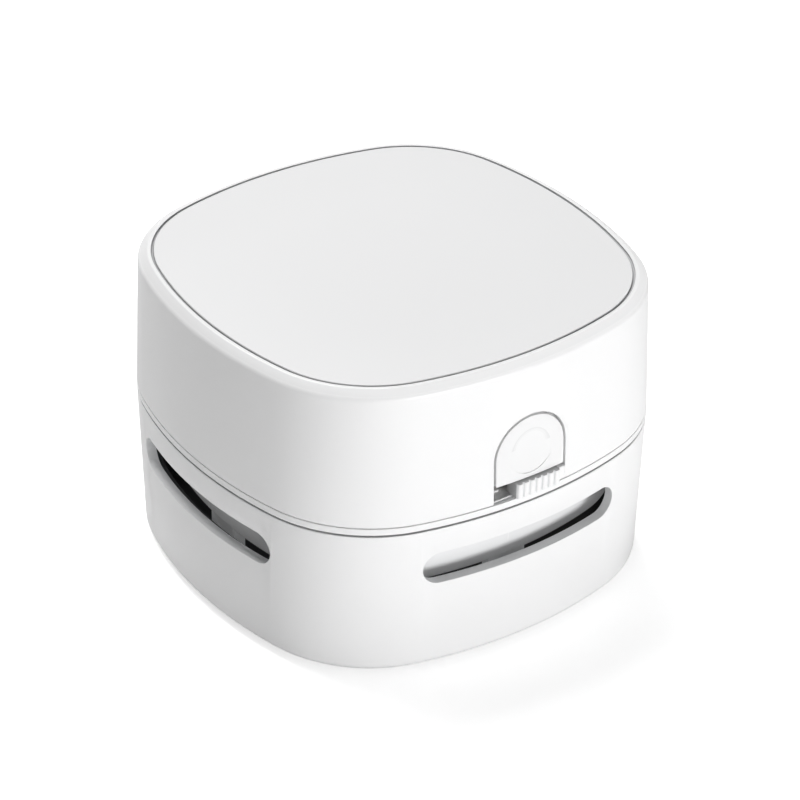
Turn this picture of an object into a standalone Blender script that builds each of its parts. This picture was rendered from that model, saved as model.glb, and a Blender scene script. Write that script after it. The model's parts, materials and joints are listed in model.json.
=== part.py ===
"""Desktop mini vacuum cleaner: a lower half with the dust cup, a lift-out filter and an upper half with the fan.

Metres, +Z up. The feet stand at z = 0 and the front, with the latch button and the power slider, faces -Y.
Every wall follows one rounded-square outline, drawn in by an inset.
"""

import math

import bmesh
import bpy

# Clearances
SEAT_GAP = 0.0003
OVERRUN = 0.0020
WELD_DEPTH = 0.0004

# Outline of the body in plan, at the seam between its halves
BODY_HALF = 0.0430
SIDE_RADIUS = 0.0850
CORNER_RADIUS = 0.0260
SIDE_STEPS = 6
CORNER_STEPS = 6

# Heights of the body
FOOT_PROUD = 0.0008
LOWER_HEIGHT = 0.02956
SEAM_GAP = 0.0004
DECK_THICKNESS = 0.0013
RIM_LINE = 0.0002
UPPER_HEIGHT = 0.02675

# Walls of the two outer shells
LOWER_WALL = 0.0019
LOWER_DRAFT = 0.00076
BOTTOM_FILLET = 0.00185
UPPER_WALL = 0.0018
UPPER_DRAFT = 0.00098
RIM_DROP = 0.00126
RIM_FLAT = 0.00064
ARC_STEPS = 4

# Bottom flange of the lower shell, with its feet and screws
FLANGE_REACH = 0.0090
FLANGE_THICKNESS = 0.0024
FOOT_RADIUS = 0.0025
FOOT_SINK = 0.0009
FOOT_BEVEL = 0.0003
SCREW_HEAD_RADIUS = 0.0019
SCREW_HEAD_HEIGHT = 0.0012
SCREW_SHANK_RADIUS = 0.0010
SCREW_LENGTH = 0.0070
SCREW_HEAD_SINK = 0.0002
SCREW_STEPS = 10

# Air slots of the lower shell
SLOT_HALF_LENGTH = 0.486 * BODY_HALF
SLOT_HEIGHT = 0.0066
SLOT_RISE = 0.717 * LOWER_HEIGHT
STADIUM_STEPS = 6

# Catches of the latch
CATCH_HALF_WIDTH = 0.0018
CATCH_HEIGHT = 0.0012
CATCH_DROP = 0.0014

# Base tray, with the inlet and the brush pockets
TRAY_WALL = 0.0012
TRAY_FLOOR = 0.0015
TRAY_HEIGHT = 0.467 * LOWER_HEIGHT
BOSS_RADIUS = 0.0024
BOSS_HEIGHT = 0.0058
BOSS_ROOF = 0.0010
INLET_HALF_LENGTH = 0.0130
INLET_HALF_WIDTH = 0.0045
CHIMNEY_WALL = 0.0012
INLET_HEADROOM = 0.0040
BRUSH_OFFSET = 0.0100
BRUSH_HALF_LENGTH = 0.0180
BRUSH_HALF_WIDTH = 0.0018
BRUSH_BACKING = 0.0018
POCKET_WALL = 0.0009
POCKET_DEPTH = 0.0033
TUFT_RADIUS = 0.0008
TUFT_ROW_OFFSET = 0.0009
TUFTS_PER_ROW = 9
TUFT_STEPS = 5
TUFT_DESK_GAP = 0.0004
TUFT_TIP_SHARE = 0.8

# Dust cup and its seal
CUP_INSET = 0.0060
CUP_WALL = 0.0014
CUP_RISE = 0.5007 * LOWER_HEIGHT
CUP_RIM_DROP = 0.00356
CUP_FILLET = 0.0008
CUP_SUMP_INSET = 0.442 * BODY_HALF
CUP_SUMP_DROP = 0.0053
CUP_LEDGE_DROP = 0.0038
CUP_LEDGE_REACH = 0.0019
CUP_LEDGE_THICKNESS = 0.0012
CUP_COLLAR_HEIGHT = 0.0030
CUP_TAB_HALF_WIDTH = 0.0039
CUP_TAB_DEPTH = 0.0025
SEAL_HEIGHT = 0.0016

# Filter
FILTER_LIP_HEIGHT = 0.0045
FILTER_FRAME_WIDTH = 0.0035
FILTER_FLOOR_WIDTH = 0.0015
FILTER_FLOOR_THICKNESS = 0.0008
PLEAT_COUNT = 14
PLEAT_HEIGHT = 0.0011
PLEAT_THICKNESS = 0.0005
HANDLE_HALF_WIDTH = 0.0015
HANDLE_THICKNESS = 0.0012
PULL_RADIUS = 0.0022
PULL_HOLE_RADIUS = 0.0010

# Chassis of the upper half
TONGUE_THICKNESS = 0.0012
TONGUE_DROP = 0.0021
TONGUE_RISE = 0.0016
TONGUE_FROM = 0.0155
TONGUE_TO = 0.0205
WINDOW_OUTER_INSET = 0.0025
WINDOW_INNER_INSET = 0.0059
WINDOW_FROM = 0.0040
WINDOW_TO = 0.0142
LATCH_WINDOW_FROM = 0.0090
INTAKE_HUB_RADIUS = 0.0035
INTAKE_SHARE = 0.64
INTAKE_SLOT_HALF_WIDTH = 0.0018
INTAKE_SLOTS = 8
POST_RADIUS = 0.0026
CASE_HEAD_RADIUS = 0.0016
POST_BORE_DEPTH = 0.0085

# Fan and its cover
FAN_FLOOR_GAP = 0.0012
IMPELLER_TIP_GAP = 0.0032
IMPELLER_HEIGHT = 0.0056
IMPELLER_PLATE = 0.0010
HUB_RADIUS = 0.0045
HUB_NOSE_RADIUS = 0.0030
HUB_NOSE = 0.0010
BLADE_COUNT = 9
BLADE_THICKNESS = 0.0009
BLADE_SWEEP = math.radians(48)
BLADE_STEPS = 4
COVER_PACK_ROOM = 0.0053
COVER_WALL = 0.0013
COVER_HEIGHT = 0.0098
COVER_FILLET = 0.0020
COVER_RING_WALL = 0.0010
COVER_RING_HEIGHT = 0.0016
OUTLET_COUNT = 8
OUTLET_HALF_WIDTH = 0.0045
OUTLET_HEIGHT = 0.0042
OUTLET_RISE = 0.0022
ROUND_STEPS = 32

# Motor
MOTOR_SHARE = 0.508
MOTOR_HEIGHT = 0.0121
MOTOR_WALL = 0.0008
MOTOR_BOSS_RADIUS = 0.0030
MOTOR_BOSS_HEIGHT = 0.0013
SHAFT_RADIUS = 0.0010
ROTOR_SHARE = 0.74
ROTOR_HEIGHT = 0.0068
ROTOR_LIFT = 0.0012
CAP_PLUG_HEIGHT = 0.0015
CAP_HEIGHT = 0.0008
TERMINAL_SHARE = 0.574
TERMINAL_HALF_WIDTH = 0.0011
TERMINAL_THICKNESS = 0.0005
TERMINAL_HEIGHT = 0.0012
MOTOR_SCREW_SHARE = 0.656
MOTOR_SCREW_HEAD_RADIUS = 0.0015
MOTOR_SCREW_HEAD_HEIGHT = 0.0009
MOTOR_SCREW_LENGTH = 0.0029
MOTOR_STEPS = 24

# Battery pack and its cradle
PACK_THICKNESS = 0.0080
PACK_HALF_LENGTH = 0.395 * BODY_HALF
PACK_HEIGHT = 0.0200
PACK_BEVEL = 0.0012
CRADLE_WALL = 0.0012
CRADLE_HEIGHT = 0.0070

# Control board, charging socket and charging light
BOARD_HALF_WIDTH = 0.314 * BODY_HALF
BOARD_HEIGHT = 0.0180
BOARD_THICKNESS = 0.0012
BOARD_INSET = 0.0100
BOARD_GUIDE_HEIGHT = 0.0060
BOARD_GUIDE_HALF_WIDTH = 0.0015
BOARD_GUIDE_CHEEK = 0.0015
BOARD_BITE = 0.0010
SOCKET_RISE = 0.0150
SOCKET_HALF_WIDTH = 0.00447
SOCKET_HALF_HEIGHT = 0.00163
SOCKET_WALL = 0.0003
SOCKET_DEPTH = 0.0062
SOCKET_SINK = 0.0004
SOCKET_TONGUE_HALF_WIDTH = 0.0033
SOCKET_TONGUE_HALF_HEIGHT = 0.00035
SOCKET_TONGUE_LENGTH = 0.0050
LIGHT_RADIUS = 0.0010
LIGHT_GAP = 0.0050
CHIP_HALF_WIDTH = 0.0025
CHIP_THICKNESS = 0.0010
CHIP_OFFSET = 0.163 * BODY_HALF

# Top panel
PANEL_INSET = 0.00339
PANEL_GROOVE = 0.0005
PANEL_THICKNESS = 0.0014
PANEL_BEVEL = 0.0002
LEDGE_REACH = 0.0030
LEDGE_THICKNESS = 0.0015
SKIRT_THICKNESS = 0.0010
SKIRT_HEIGHT = 0.0015

# Opening for the button and the slider
ARCH_HALF_WIDTH = 0.0078
ARCH_RISE = 0.0048
ARCH_STEPS = 16
BUTTON_GAP = 0.0005
BUTTON_LIFT = 0.00034
BUTTON_FLANGE = 0.0013
BUTTON_FLANGE_MARGIN = 0.0016
BUTTON_FLANGE_LIFT = 0.0010
DIMPLE_RADIUS = 0.0043
DIMPLE_DEPTH = 0.0003
DIMPLE_RISE = 0.0057
DIMPLE_RINGS = 3
DIMPLE_STEPS = 24
PRESS_TRAVEL = 0.0012

# Latch legs and return springs
LEG_INNER = 0.0094
LEG_WIDTH = 0.0030
LEG_THICKNESS = 0.0011
LEG_TOP_LIFT = 0.0050
HOOK_REACH = 0.0004
HOOK_HEIGHT = 0.0012
HOOK_CHAMFER = 0.0003
HOOK_SHORTFALL = 0.0003
SPRING_OFFSET = 0.0048
SPRING_RISE = 0.0079
SPRING_RADIUS = 0.0015
SPRING_WIRE_RADIUS = 0.0002
SPRING_TURNS = 4.5
SPRING_STEPS = 10
PIN_RADIUS = 0.0009
PIN_LENGTH = 0.0015
BRACKET_HALF_WIDTH = 0.0082
BRACKET_THICKNESS = 0.0014
BRACKET_INSET = 0.0104
BRACKET_MARGIN = 0.0030

# Power slider, its guide and its switch
SLIDER_OFFSET = 0.00125
SLIDER_HALF_WIDTH = 0.0047
SLIDER_HEIGHT = 0.0030
SLIDER_PROUD = 0.0009
SLIDER_FLOOR_GAP = 0.0003
SLIDER_INSET = 0.0024
SLIDER_RIBS = 7
RIB_DEPTH = 0.00035
RIB_FLAT_SHARE = 0.5
SLIDER_TRAVEL = 0.0040
STEM_HALF_WIDTH = 0.0011
STEM_HALF_HEIGHT = 0.0006
STEM_BITE = 0.0016
GUIDE_HALF_WIDTH = 0.0083
GUIDE_THICKNESS = 0.0012
GUIDE_RIDGE = 0.0003
SWITCH_HALF_LENGTH = 0.0058
SWITCH_DEPTH = 0.0046
SWITCH_HEIGHT = 0.0036

# Internal leads
LEAD_RADIUS = 0.0005
LEAD_STEP = 0.0020

# Levels, from the desk up
SHELL_BOTTOM = FOOT_PROUD
LOWER_TOP = SHELL_BOTTOM + LOWER_HEIGHT
DECK_BOTTOM = LOWER_TOP + SEAM_GAP
DECK_TOP = DECK_BOTTOM + DECK_THICKNESS
UPPER_BOTTOM = DECK_TOP + RIM_LINE
TOP = UPPER_BOTTOM + UPPER_HEIGHT
WALL_TOP = TOP - RIM_DROP
TRAY_BOTTOM = SHELL_BOTTOM + FLANGE_THICKNESS + SEAT_GAP
TRAY_FLOOR_TOP = TRAY_BOTTOM + TRAY_FLOOR
BOSS_TOP = TRAY_FLOOR_TOP + BOSS_HEIGHT
CUP_BOTTOM = SHELL_BOTTOM + CUP_RISE
CUP_RIM = LOWER_TOP - CUP_RIM_DROP
CUP_LEDGE_TOP = CUP_RIM - CUP_LEDGE_DROP
CUP_SUMP_BOTTOM = CUP_BOTTOM - CUP_SUMP_DROP
SEAL_TOP = CUP_RIM + SEAT_GAP + SEAL_HEIGHT
FILTER_BOTTOM = CUP_LEDGE_TOP + SEAT_GAP
FILTER_TOP = FILTER_BOTTOM + FILTER_LIP_HEIGHT
CHIMNEY_TOP = FILTER_BOTTOM - INLET_HEADROOM
IMPELLER_BOTTOM = DECK_TOP + FAN_FLOOR_GAP
IMPELLER_TOP = IMPELLER_BOTTOM + IMPELLER_HEIGHT
COVER_BOTTOM = DECK_TOP + SEAT_GAP
COVER_TOP = COVER_BOTTOM + COVER_HEIGHT
COVER_CEILING = COVER_TOP - COVER_WALL
MOTOR_BOTTOM = COVER_TOP + SEAT_GAP
MOTOR_TOP = MOTOR_BOTTOM + MOTOR_HEIGHT
MOTOR_FLOOR = MOTOR_BOTTOM + MOTOR_WALL
PANEL_BOTTOM = TOP - PANEL_THICKNESS
LEDGE_TOP = PANEL_BOTTOM - SEAT_GAP
LEDGE_BOTTOM = LEDGE_TOP - LEDGE_THICKNESS
CATCH_TOP = LOWER_TOP - CATCH_DROP
CATCH_BOTTOM = CATCH_TOP - CATCH_HEIGHT
HOOK_TOP = CATCH_BOTTOM - SEAT_GAP
SLIDER_BOTTOM = DECK_TOP + SLIDER_FLOOR_GAP
BUTTON_BOTTOM = SLIDER_BOTTOM + SLIDER_HEIGHT + BUTTON_LIFT
ARCH_CENTRE = BUTTON_BOTTOM + ARCH_RISE
SPRING_LEVEL = BUTTON_BOTTOM + SPRING_RISE
STEM_MIDDLE = SLIDER_BOTTOM + SLIDER_HEIGHT / 2
PACK_BOTTOM = DECK_TOP + SEAT_GAP
BOARD_BOTTOM = DECK_TOP + SEAT_GAP
SOCKET_LEVEL = DECK_TOP + SOCKET_RISE

# Centres of the outline's arcs
SIDE_CENTRE = SIDE_RADIUS - BODY_HALF
ARC_SPAN = SIDE_RADIUS - CORNER_RADIUS
CORNER_CENTRE = (math.sqrt(2 * ARC_SPAN**2 - SIDE_CENTRE**2) - SIDE_CENTRE) / 2
SIDE_HALF_ANGLE = math.atan2(CORNER_CENTRE, CORNER_CENTRE + SIDE_CENTRE)

# Places in plan
SLIDER_BACK = BODY_HALF - SLIDER_INSET
BRACKET_OFFSET = BODY_HALF - BRACKET_INSET
BOARD_OFFSET = BODY_HALF - BOARD_INSET
LIGHT_OFFSET = SOCKET_HALF_WIDTH + LIGHT_GAP
FLANGE_MIDDLE = BODY_HALF - LOWER_DRAFT - (BOTTOM_FILLET + FLANGE_REACH) / 2
CORNER_FLANGE_RADIUS = CORNER_RADIUS - LOWER_DRAFT - (BOTTOM_FILLET + FLANGE_REACH) / 2
FOOT_PLACE = CORNER_CENTRE + CORNER_FLANGE_RADIUS * math.sqrt(0.5)
POST_RADIAL = CORNER_RADIUS - (LOWER_WALL + CUP_INSET) / 2
POST_PLACE = CORNER_CENTRE + POST_RADIAL * math.sqrt(0.5)
CUP_HALF = BODY_HALF - CUP_INSET
PACK_OUTER = BODY_HALF - CUP_INSET + SEAT_GAP
PACK_INNER = PACK_OUTER - PACK_THICKNESS
COVER_RADIUS = PACK_INNER - COVER_PACK_ROOM
IMPELLER_RADIUS = COVER_RADIUS - COVER_WALL - IMPELLER_TIP_GAP
INTAKE_RADIUS = IMPELLER_RADIUS * INTAKE_SHARE
MOTOR_RADIUS = COVER_RADIUS * MOTOR_SHARE
ROTOR_RADIUS = MOTOR_RADIUS * ROTOR_SHARE
TERMINAL_OFFSET = MOTOR_RADIUS * TERMINAL_SHARE
MOTOR_SCREW_OFFSET = MOTOR_RADIUS * MOTOR_SCREW_SHARE
GUIDE_FRONT = SLIDER_BACK - SEAT_GAP
SWITCH_FRONT = GUIDE_FRONT - GUIDE_THICKNESS - SEAT_GAP
SWITCH_MIDDLE = SLIDER_OFFSET - SLIDER_TRAVEL / 2
STEM_BACK = SWITCH_FRONT - STEM_BITE
LEG_BACK = CUP_HALF + SEAT_GAP - (SIDE_RADIUS - math.sqrt(SIDE_RADIUS**2 - LEG_INNER**2)) + PRESS_TRAVEL
LEG_FRONT = LEG_BACK + LEG_THICKNESS
HOOK_TIP = LEG_FRONT + HOOK_REACH
CATCH_TIP = HOOK_TIP + HOOK_SHORTFALL
BOARD_BACK = BOARD_OFFSET + BOARD_THICKNESS
BODY_SETBACK = SLIDER_PROUD / 2

SIDES = {"front": 3, "right": 0, "rear": 1, "left": 2}
QUARTER_TURN = math.pi / 2
FULL_TURN = 2 * math.pi
SMOOTH_ANGLE = math.radians(35)


def turned_point(x, y, angle):
    """A point turned about the Z axis."""
    return (x * math.cos(angle) - y * math.sin(angle), x * math.sin(angle) + y * math.cos(angle))


def draft_at(z):
    """How far the outer walls have drawn in from the seam's outline at a height."""
    if z < LOWER_TOP:
        return LOWER_DRAFT * (LOWER_TOP - z) / LOWER_HEIGHT
    return UPPER_DRAFT * max(0, z - UPPER_BOTTOM) / (WALL_TOP - UPPER_BOTTOM)


def sagitta(half_width, inset=0):
    """How far a side arc falls back from its middle at this distance from it."""
    radius = SIDE_RADIUS - inset
    return radius - math.sqrt(radius**2 - half_width**2)


def level(inset, z):
    """The body's rounded-square outline drawn in by an inset, as a ring of points."""
    points = []
    for quarter in range(4):
        for step in range(SIDE_STEPS):
            angle = SIDE_HALF_ANGLE * (2 * step / SIDE_STEPS - 1)
            along = (SIDE_RADIUS - inset) * math.cos(angle) - SIDE_CENTRE
            across = (SIDE_RADIUS - inset) * math.sin(angle)
            points.append((*turned_point(along, across, quarter * QUARTER_TURN), z))
        for step in range(CORNER_STEPS):
            angle = SIDE_HALF_ANGLE + (QUARTER_TURN - 2 * SIDE_HALF_ANGLE) * step / CORNER_STEPS
            along = CORNER_CENTRE + (CORNER_RADIUS - inset) * math.cos(angle)
            across = CORNER_CENTRE + (CORNER_RADIUS - inset) * math.sin(angle)
            points.append((*turned_point(along, across, quarter * QUARTER_TURN), z))
    return points


def drafted(inset, z):
    """The outline at a height of the tapering outer walls."""
    return level(inset + draft_at(z), z)


def circle(radius, z, steps=ROUND_STEPS, x=0, y=0):
    turns = [FULL_TURN * step / steps for step in range(steps)]
    return [(x + radius * math.cos(turn), y + radius * math.sin(turn), z) for turn in turns]


def stadium(half_length, half_height):
    """A slot with round ends, as points of its own plane."""
    points = []
    for end in (1, -1):
        for step in range(STADIUM_STEPS + 1):
            angle = QUARTER_TURN * (2 * step / STADIUM_STEPS - end)
            centre = end * (half_length - half_height)
            points.append((centre + half_height * math.cos(angle), half_height * math.sin(angle)))
    return points


def arch(half_width, bottom, centre):
    """A gravestone shape: straight sides from the bottom up to a half circle."""
    turns = [math.pi * step / ARCH_STEPS for step in range(ARCH_STEPS + 1)]
    top = [(half_width * math.cos(turn), centre + half_width * math.sin(turn)) for turn in turns]
    return [(half_width, bottom), *top, (-half_width, bottom)]


def rectangle(low_x, low_y, high_x, high_y):
    return [(low_x, low_y), (high_x, low_y), (high_x, high_y), (low_x, high_y)]


def sector(side, outer_inset, inner_inset, start, end):
    """A stretch of one side's wall in plan, between two insets and two distances from the side's middle."""
    points = []
    for inset, ends in ((outer_inset, (start, end)), (inner_inset, (end, start))):
        radius = SIDE_RADIUS - inset
        first, last = (math.asin(place / radius) for place in ends)
        for step in range(SIDE_STEPS // 2 + 1):
            angle = first + (last - first) * 2 * step / SIDE_STEPS
            along = radius * math.cos(angle) - SIDE_CENTRE
            points.append(turned_point(along, radius * math.sin(angle), SIDES[side] * QUARTER_TURN))
    return points


def skin(bm, rings, hollow=False):
    """Faces over rings of equal count: closed on itself when hollow, otherwise capped at both ends."""
    rows = [[bm.verts.new(point) for point in ring] for ring in rings]
    pairs = list(zip(rows, rows[1:]))
    if hollow:
        pairs.append((rows[-1], rows[0]))
    for low, high in pairs:
        for index in range(len(low)):
            after = (index + 1) % len(low)
            bm.faces.new((low[index], low[after], high[after], high[index]))
    if not hollow:
        bm.faces.new(rows[0])
        bm.faces.new(rows[-1][::-1])
    return bm


def solid(*layers, hollow=False):
    return skin(bmesh.new(), layers, hollow)


def prism(bm, points, start, end, axis="Z"):
    """An outline of its own plane, drawn out along an axis."""
    places = {
        "X": lambda a, b, along: (along, a, b),
        "Y": lambda a, b, along: (a, along, b),
        "Z": lambda a, b, along: (a, b, along),
    }[axis]
    return skin(bm, [[places(a, b, along) for a, b in points] for along in (start, end)])


def block(bm, low, high):
    return prism(bm, rectangle(low[0], low[1], high[0], high[1]), low[2], high[2])


def material(name, colour, roughness, metallic=0.0):
    made = bpy.data.materials.new(name)
    made.use_nodes = True
    shader = made.node_tree.nodes["Principled BSDF"]
    shader.inputs["Base Color"].default_value = (*colour, 1.0)
    shader.inputs["Roughness"].default_value = roughness
    shader.inputs["Metallic"].default_value = metallic
    return made


def finish(bm, name, parent):
    """Puts a mesh in the scene in the body's own frame, whatever empty carries it."""
    bmesh.ops.recalc_face_normals(bm, faces=bm.faces)
    mesh = bpy.data.meshes.new(name)
    bm.to_mesh(mesh)
    bm.free()
    mesh.shade_smooth()
    mesh.set_sharp_from_angle(angle=SMOOTH_ANGLE)
    made = bpy.data.objects.new(name, mesh)
    bpy.context.collection.objects.link(made)
    made.parent = parent
    made.location = [-place for place in parent.location] if parent.parent else (0, 0, 0)
    return made


def piece(bm, name, look, parent):
    made = finish(bm, name, parent)
    made.data.materials.append(look)
    return made


def helper(bm, name, parent):
    """A hidden shape that another piece is cut by or joined with."""
    made = finish(bm, name, parent)
    made.hide_render = True
    made.display_type = "WIRE"
    return made


def combine(target, operation, tool):
    modifier = target.modifiers.new(tool.name, "BOOLEAN")
    modifier.operation = operation
    modifier.solver = "EXACT"
    modifier.object = tool


def cut(target, bm, name):
    combine(target, "DIFFERENCE", helper(bm, name, target.parent))


def join(target, bm, name):
    combine(target, "UNION", helper(bm, name, target.parent))


def keep(target, bm, name):
    combine(target, "INTERSECT", helper(bm, name, target.parent))


def soften(target, width):
    modifier = target.modifiers.new("soft edges", "BEVEL")
    modifier.width = width
    modifier.segments = 2
    modifier.limit_method = "ANGLE"


def empty(name, location, parent=None):
    made = bpy.data.objects.new(name, None)
    bpy.context.collection.objects.link(made)
    made.location = location
    made.parent = parent
    made.empty_display_size = BODY_HALF
    return made


def fillet(radius, start, end, steps=ARC_STEPS):
    """Pairs of the inward and upward travel along a quarter of a round edge."""
    turns = [start + (end - start) * step / steps for step in range(steps + 1)]
    return [(radius * (1 - math.cos(turn)), radius * math.sin(turn)) for turn in turns]


def side_places(distance):
    """The middles of the four sides at a distance from the axis."""
    return [turned_point(distance, 0, quarter * QUARTER_TURN) for quarter in range(4)]


def corner_places(distance):
    return [(x * distance, y * distance) for x in (-1, 1) for y in (-1, 1)]


def screw_rings(x, y, bottom, head_radius, head_height, length):
    """A pan-head screw standing on its head."""
    shoulder = bottom + head_height
    tip = shoulder + length
    shank = SCREW_SHANK_RADIUS
    return [
        circle(head_radius - SCREW_HEAD_SINK, bottom, SCREW_STEPS, x, y),
        circle(head_radius, bottom + SCREW_HEAD_SINK, SCREW_STEPS, x, y),
        circle(head_radius, shoulder, SCREW_STEPS, x, y),
        circle(shank, shoulder, SCREW_STEPS, x, y),
        circle(shank, tip - shank, SCREW_STEPS, x, y),
        circle(shank / 2, tip, SCREW_STEPS, x, y),
    ]


def lower_shell(look, parent):
    """The white wall of the lower half, with its bottom flange, air slots and latch catches."""
    corner = [
        level(LOWER_DRAFT + inward, SHELL_BOTTOM + BOTTOM_FILLET - down)
        for inward, down in fillet(BOTTOM_FILLET, 0, QUARTER_TURN)
    ]
    flange_top = SHELL_BOTTOM + FLANGE_THICKNESS
    shell = piece(
        solid(
            drafted(0, LOWER_TOP),
            *corner,
            drafted(FLANGE_REACH, SHELL_BOTTOM),
            drafted(FLANGE_REACH, flange_top),
            drafted(LOWER_WALL, flange_top),
            drafted(LOWER_WALL, LOWER_TOP),
            hollow=True,
        ),
        "lower_shell",
        look,
        parent,
    )
    catches = bmesh.new()
    for side in (-1, 1):
        middle = side * (LEG_INNER + LEG_WIDTH / 2)
        wall = BODY_HALF - LOWER_WALL - sagitta(LEG_INNER - CATCH_HALF_WIDTH) + WELD_DEPTH
        profile = [
            (-wall, CATCH_BOTTOM),
            (-CATCH_TIP, CATCH_BOTTOM),
            (-CATCH_TIP, CATCH_BOTTOM + CATCH_HEIGHT / 2),
            (-wall, CATCH_TOP),
        ]
        prism(catches, profile, middle - CATCH_HALF_WIDTH, middle + CATCH_HALF_WIDTH, "X")
    join(shell, catches, "catch_shapes")

    slots = bmesh.new()
    outside = BODY_HALF + OVERRUN
    inside = BODY_HALF - LOWER_DRAFT - LOWER_WALL - sagitta(SLOT_HALF_LENGTH) - OVERRUN
    mouth = [
        (across, SHELL_BOTTOM + SLOT_RISE + up)
        for across, up in stadium(SLOT_HALF_LENGTH, SLOT_HEIGHT / 2)
    ]
    for axis in ("X", "Y"):
        prism(slots, mouth, -outside, -inside, axis)
        prism(slots, mouth, inside, outside, axis)
    cut(shell, slots, "slot_shapes")

    holes = bmesh.new()
    step = SHELL_BOTTOM + SCREW_HEAD_SINK + SCREW_HEAD_HEIGHT + SEAT_GAP
    for x, y in side_places(FLANGE_MIDDLE):
        skin(
            holes,
            [
                circle(SCREW_HEAD_RADIUS + SEAT_GAP, SHELL_BOTTOM - OVERRUN, SCREW_STEPS, x, y),
                circle(SCREW_HEAD_RADIUS + SEAT_GAP, step, SCREW_STEPS, x, y),
                circle(SCREW_SHANK_RADIUS + SEAT_GAP, step, SCREW_STEPS, x, y),
                circle(SCREW_SHANK_RADIUS + SEAT_GAP, flange_top + OVERRUN, SCREW_STEPS, x, y),
            ],
        )
    for x, y in corner_places(FOOT_PLACE):
        pocket = [
            circle(FOOT_RADIUS + SEAT_GAP, z, SCREW_STEPS, x, y)
            for z in (SHELL_BOTTOM - OVERRUN, SHELL_BOTTOM + FOOT_SINK)
        ]
        skin(holes, pocket)
    cut(shell, holes, "flange_holes")


def base_tray(look, parent):
    """The black liner of the lower half: its floor carries the inlet, the brushes and the screw bosses."""
    wall = LOWER_WALL + SEAT_GAP
    tray = piece(
        solid(
            drafted(wall, TRAY_BOTTOM),
            drafted(wall, TRAY_BOTTOM + TRAY_HEIGHT),
            drafted(wall + TRAY_WALL, TRAY_BOTTOM + TRAY_HEIGHT),
            drafted(wall + TRAY_WALL, TRAY_FLOOR_TOP),
        ),
        "base_tray",
        look,
        parent,
    )
    root = TRAY_FLOOR_TOP - TRAY_FLOOR / 2
    bosses = bmesh.new()
    for x, y in side_places(FLANGE_MIDDLE):
        skin(bosses, [circle(BOSS_RADIUS, z, SCREW_STEPS, x, y) for z in (root, BOSS_TOP)])
    join(tray, bosses, "boss_shapes")

    pocket_top = TRAY_BOTTOM + POCKET_DEPTH
    pocket_half_length = BRUSH_HALF_LENGTH + SEAT_GAP
    pocket_half_width = BRUSH_HALF_WIDTH + SEAT_GAP
    housings = bmesh.new()
    for side in (-1, 1):
        low = (-pocket_half_length - POCKET_WALL, side * BRUSH_OFFSET - pocket_half_width - POCKET_WALL, root)
        high = (-low[0], side * BRUSH_OFFSET + pocket_half_width + POCKET_WALL, pocket_top + POCKET_WALL)
        block(housings, low, high)
    chimney = stadium(INLET_HALF_LENGTH + CHIMNEY_WALL, INLET_HALF_WIDTH + CHIMNEY_WALL)
    prism(housings, chimney, root, CHIMNEY_TOP)
    join(tray, housings, "housing_shapes")

    holes = bmesh.new()
    inlet = stadium(INLET_HALF_LENGTH, INLET_HALF_WIDTH)
    prism(holes, inlet, TRAY_BOTTOM - OVERRUN, CHIMNEY_TOP + OVERRUN)
    for side in (-1, 1):
        low = (-pocket_half_length, side * BRUSH_OFFSET - pocket_half_width, TRAY_BOTTOM - OVERRUN)
        block(holes, low, (-low[0], side * BRUSH_OFFSET + pocket_half_width, pocket_top))
    for x, y in side_places(FLANGE_MIDDLE):
        bore = [
            circle(SCREW_SHANK_RADIUS + SEAT_GAP, z, SCREW_STEPS, x, y)
            for z in (TRAY_BOTTOM - OVERRUN, BOSS_TOP - BOSS_ROOF)
        ]
        skin(holes, bore)
    cut(tray, holes, "tray_holes")


def brush_strip(name, side, look, parent):
    """Tufts of bristle in a moulded backing."""
    top = TRAY_BOTTOM + POCKET_DEPTH - SEAT_GAP
    bottom = top - BRUSH_BACKING
    middle = side * BRUSH_OFFSET
    backing = bmesh.new()
    block(
        backing,
        (-BRUSH_HALF_LENGTH, middle - BRUSH_HALF_WIDTH, bottom),
        (BRUSH_HALF_LENGTH, middle + BRUSH_HALF_WIDTH, top),
    )
    strip = piece(backing, name, look, parent)
    tufts = bmesh.new()
    pitch = 2 * BRUSH_HALF_LENGTH / TUFTS_PER_ROW
    for row in (-1, 1):
        for index in range(TUFTS_PER_ROW):
            x = -BRUSH_HALF_LENGTH + pitch * (index + 0.5)
            y = middle + row * TUFT_ROW_OFFSET
            skin(
                tufts,
                [
                    circle(TUFT_RADIUS, bottom + BRUSH_BACKING / 2, TUFT_STEPS, x, y),
                    circle(TUFT_RADIUS * TUFT_TIP_SHARE, TUFT_DESK_GAP, TUFT_STEPS, x, y),
                ],
            )
    join(strip, tufts, name + "_tufts")


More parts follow.
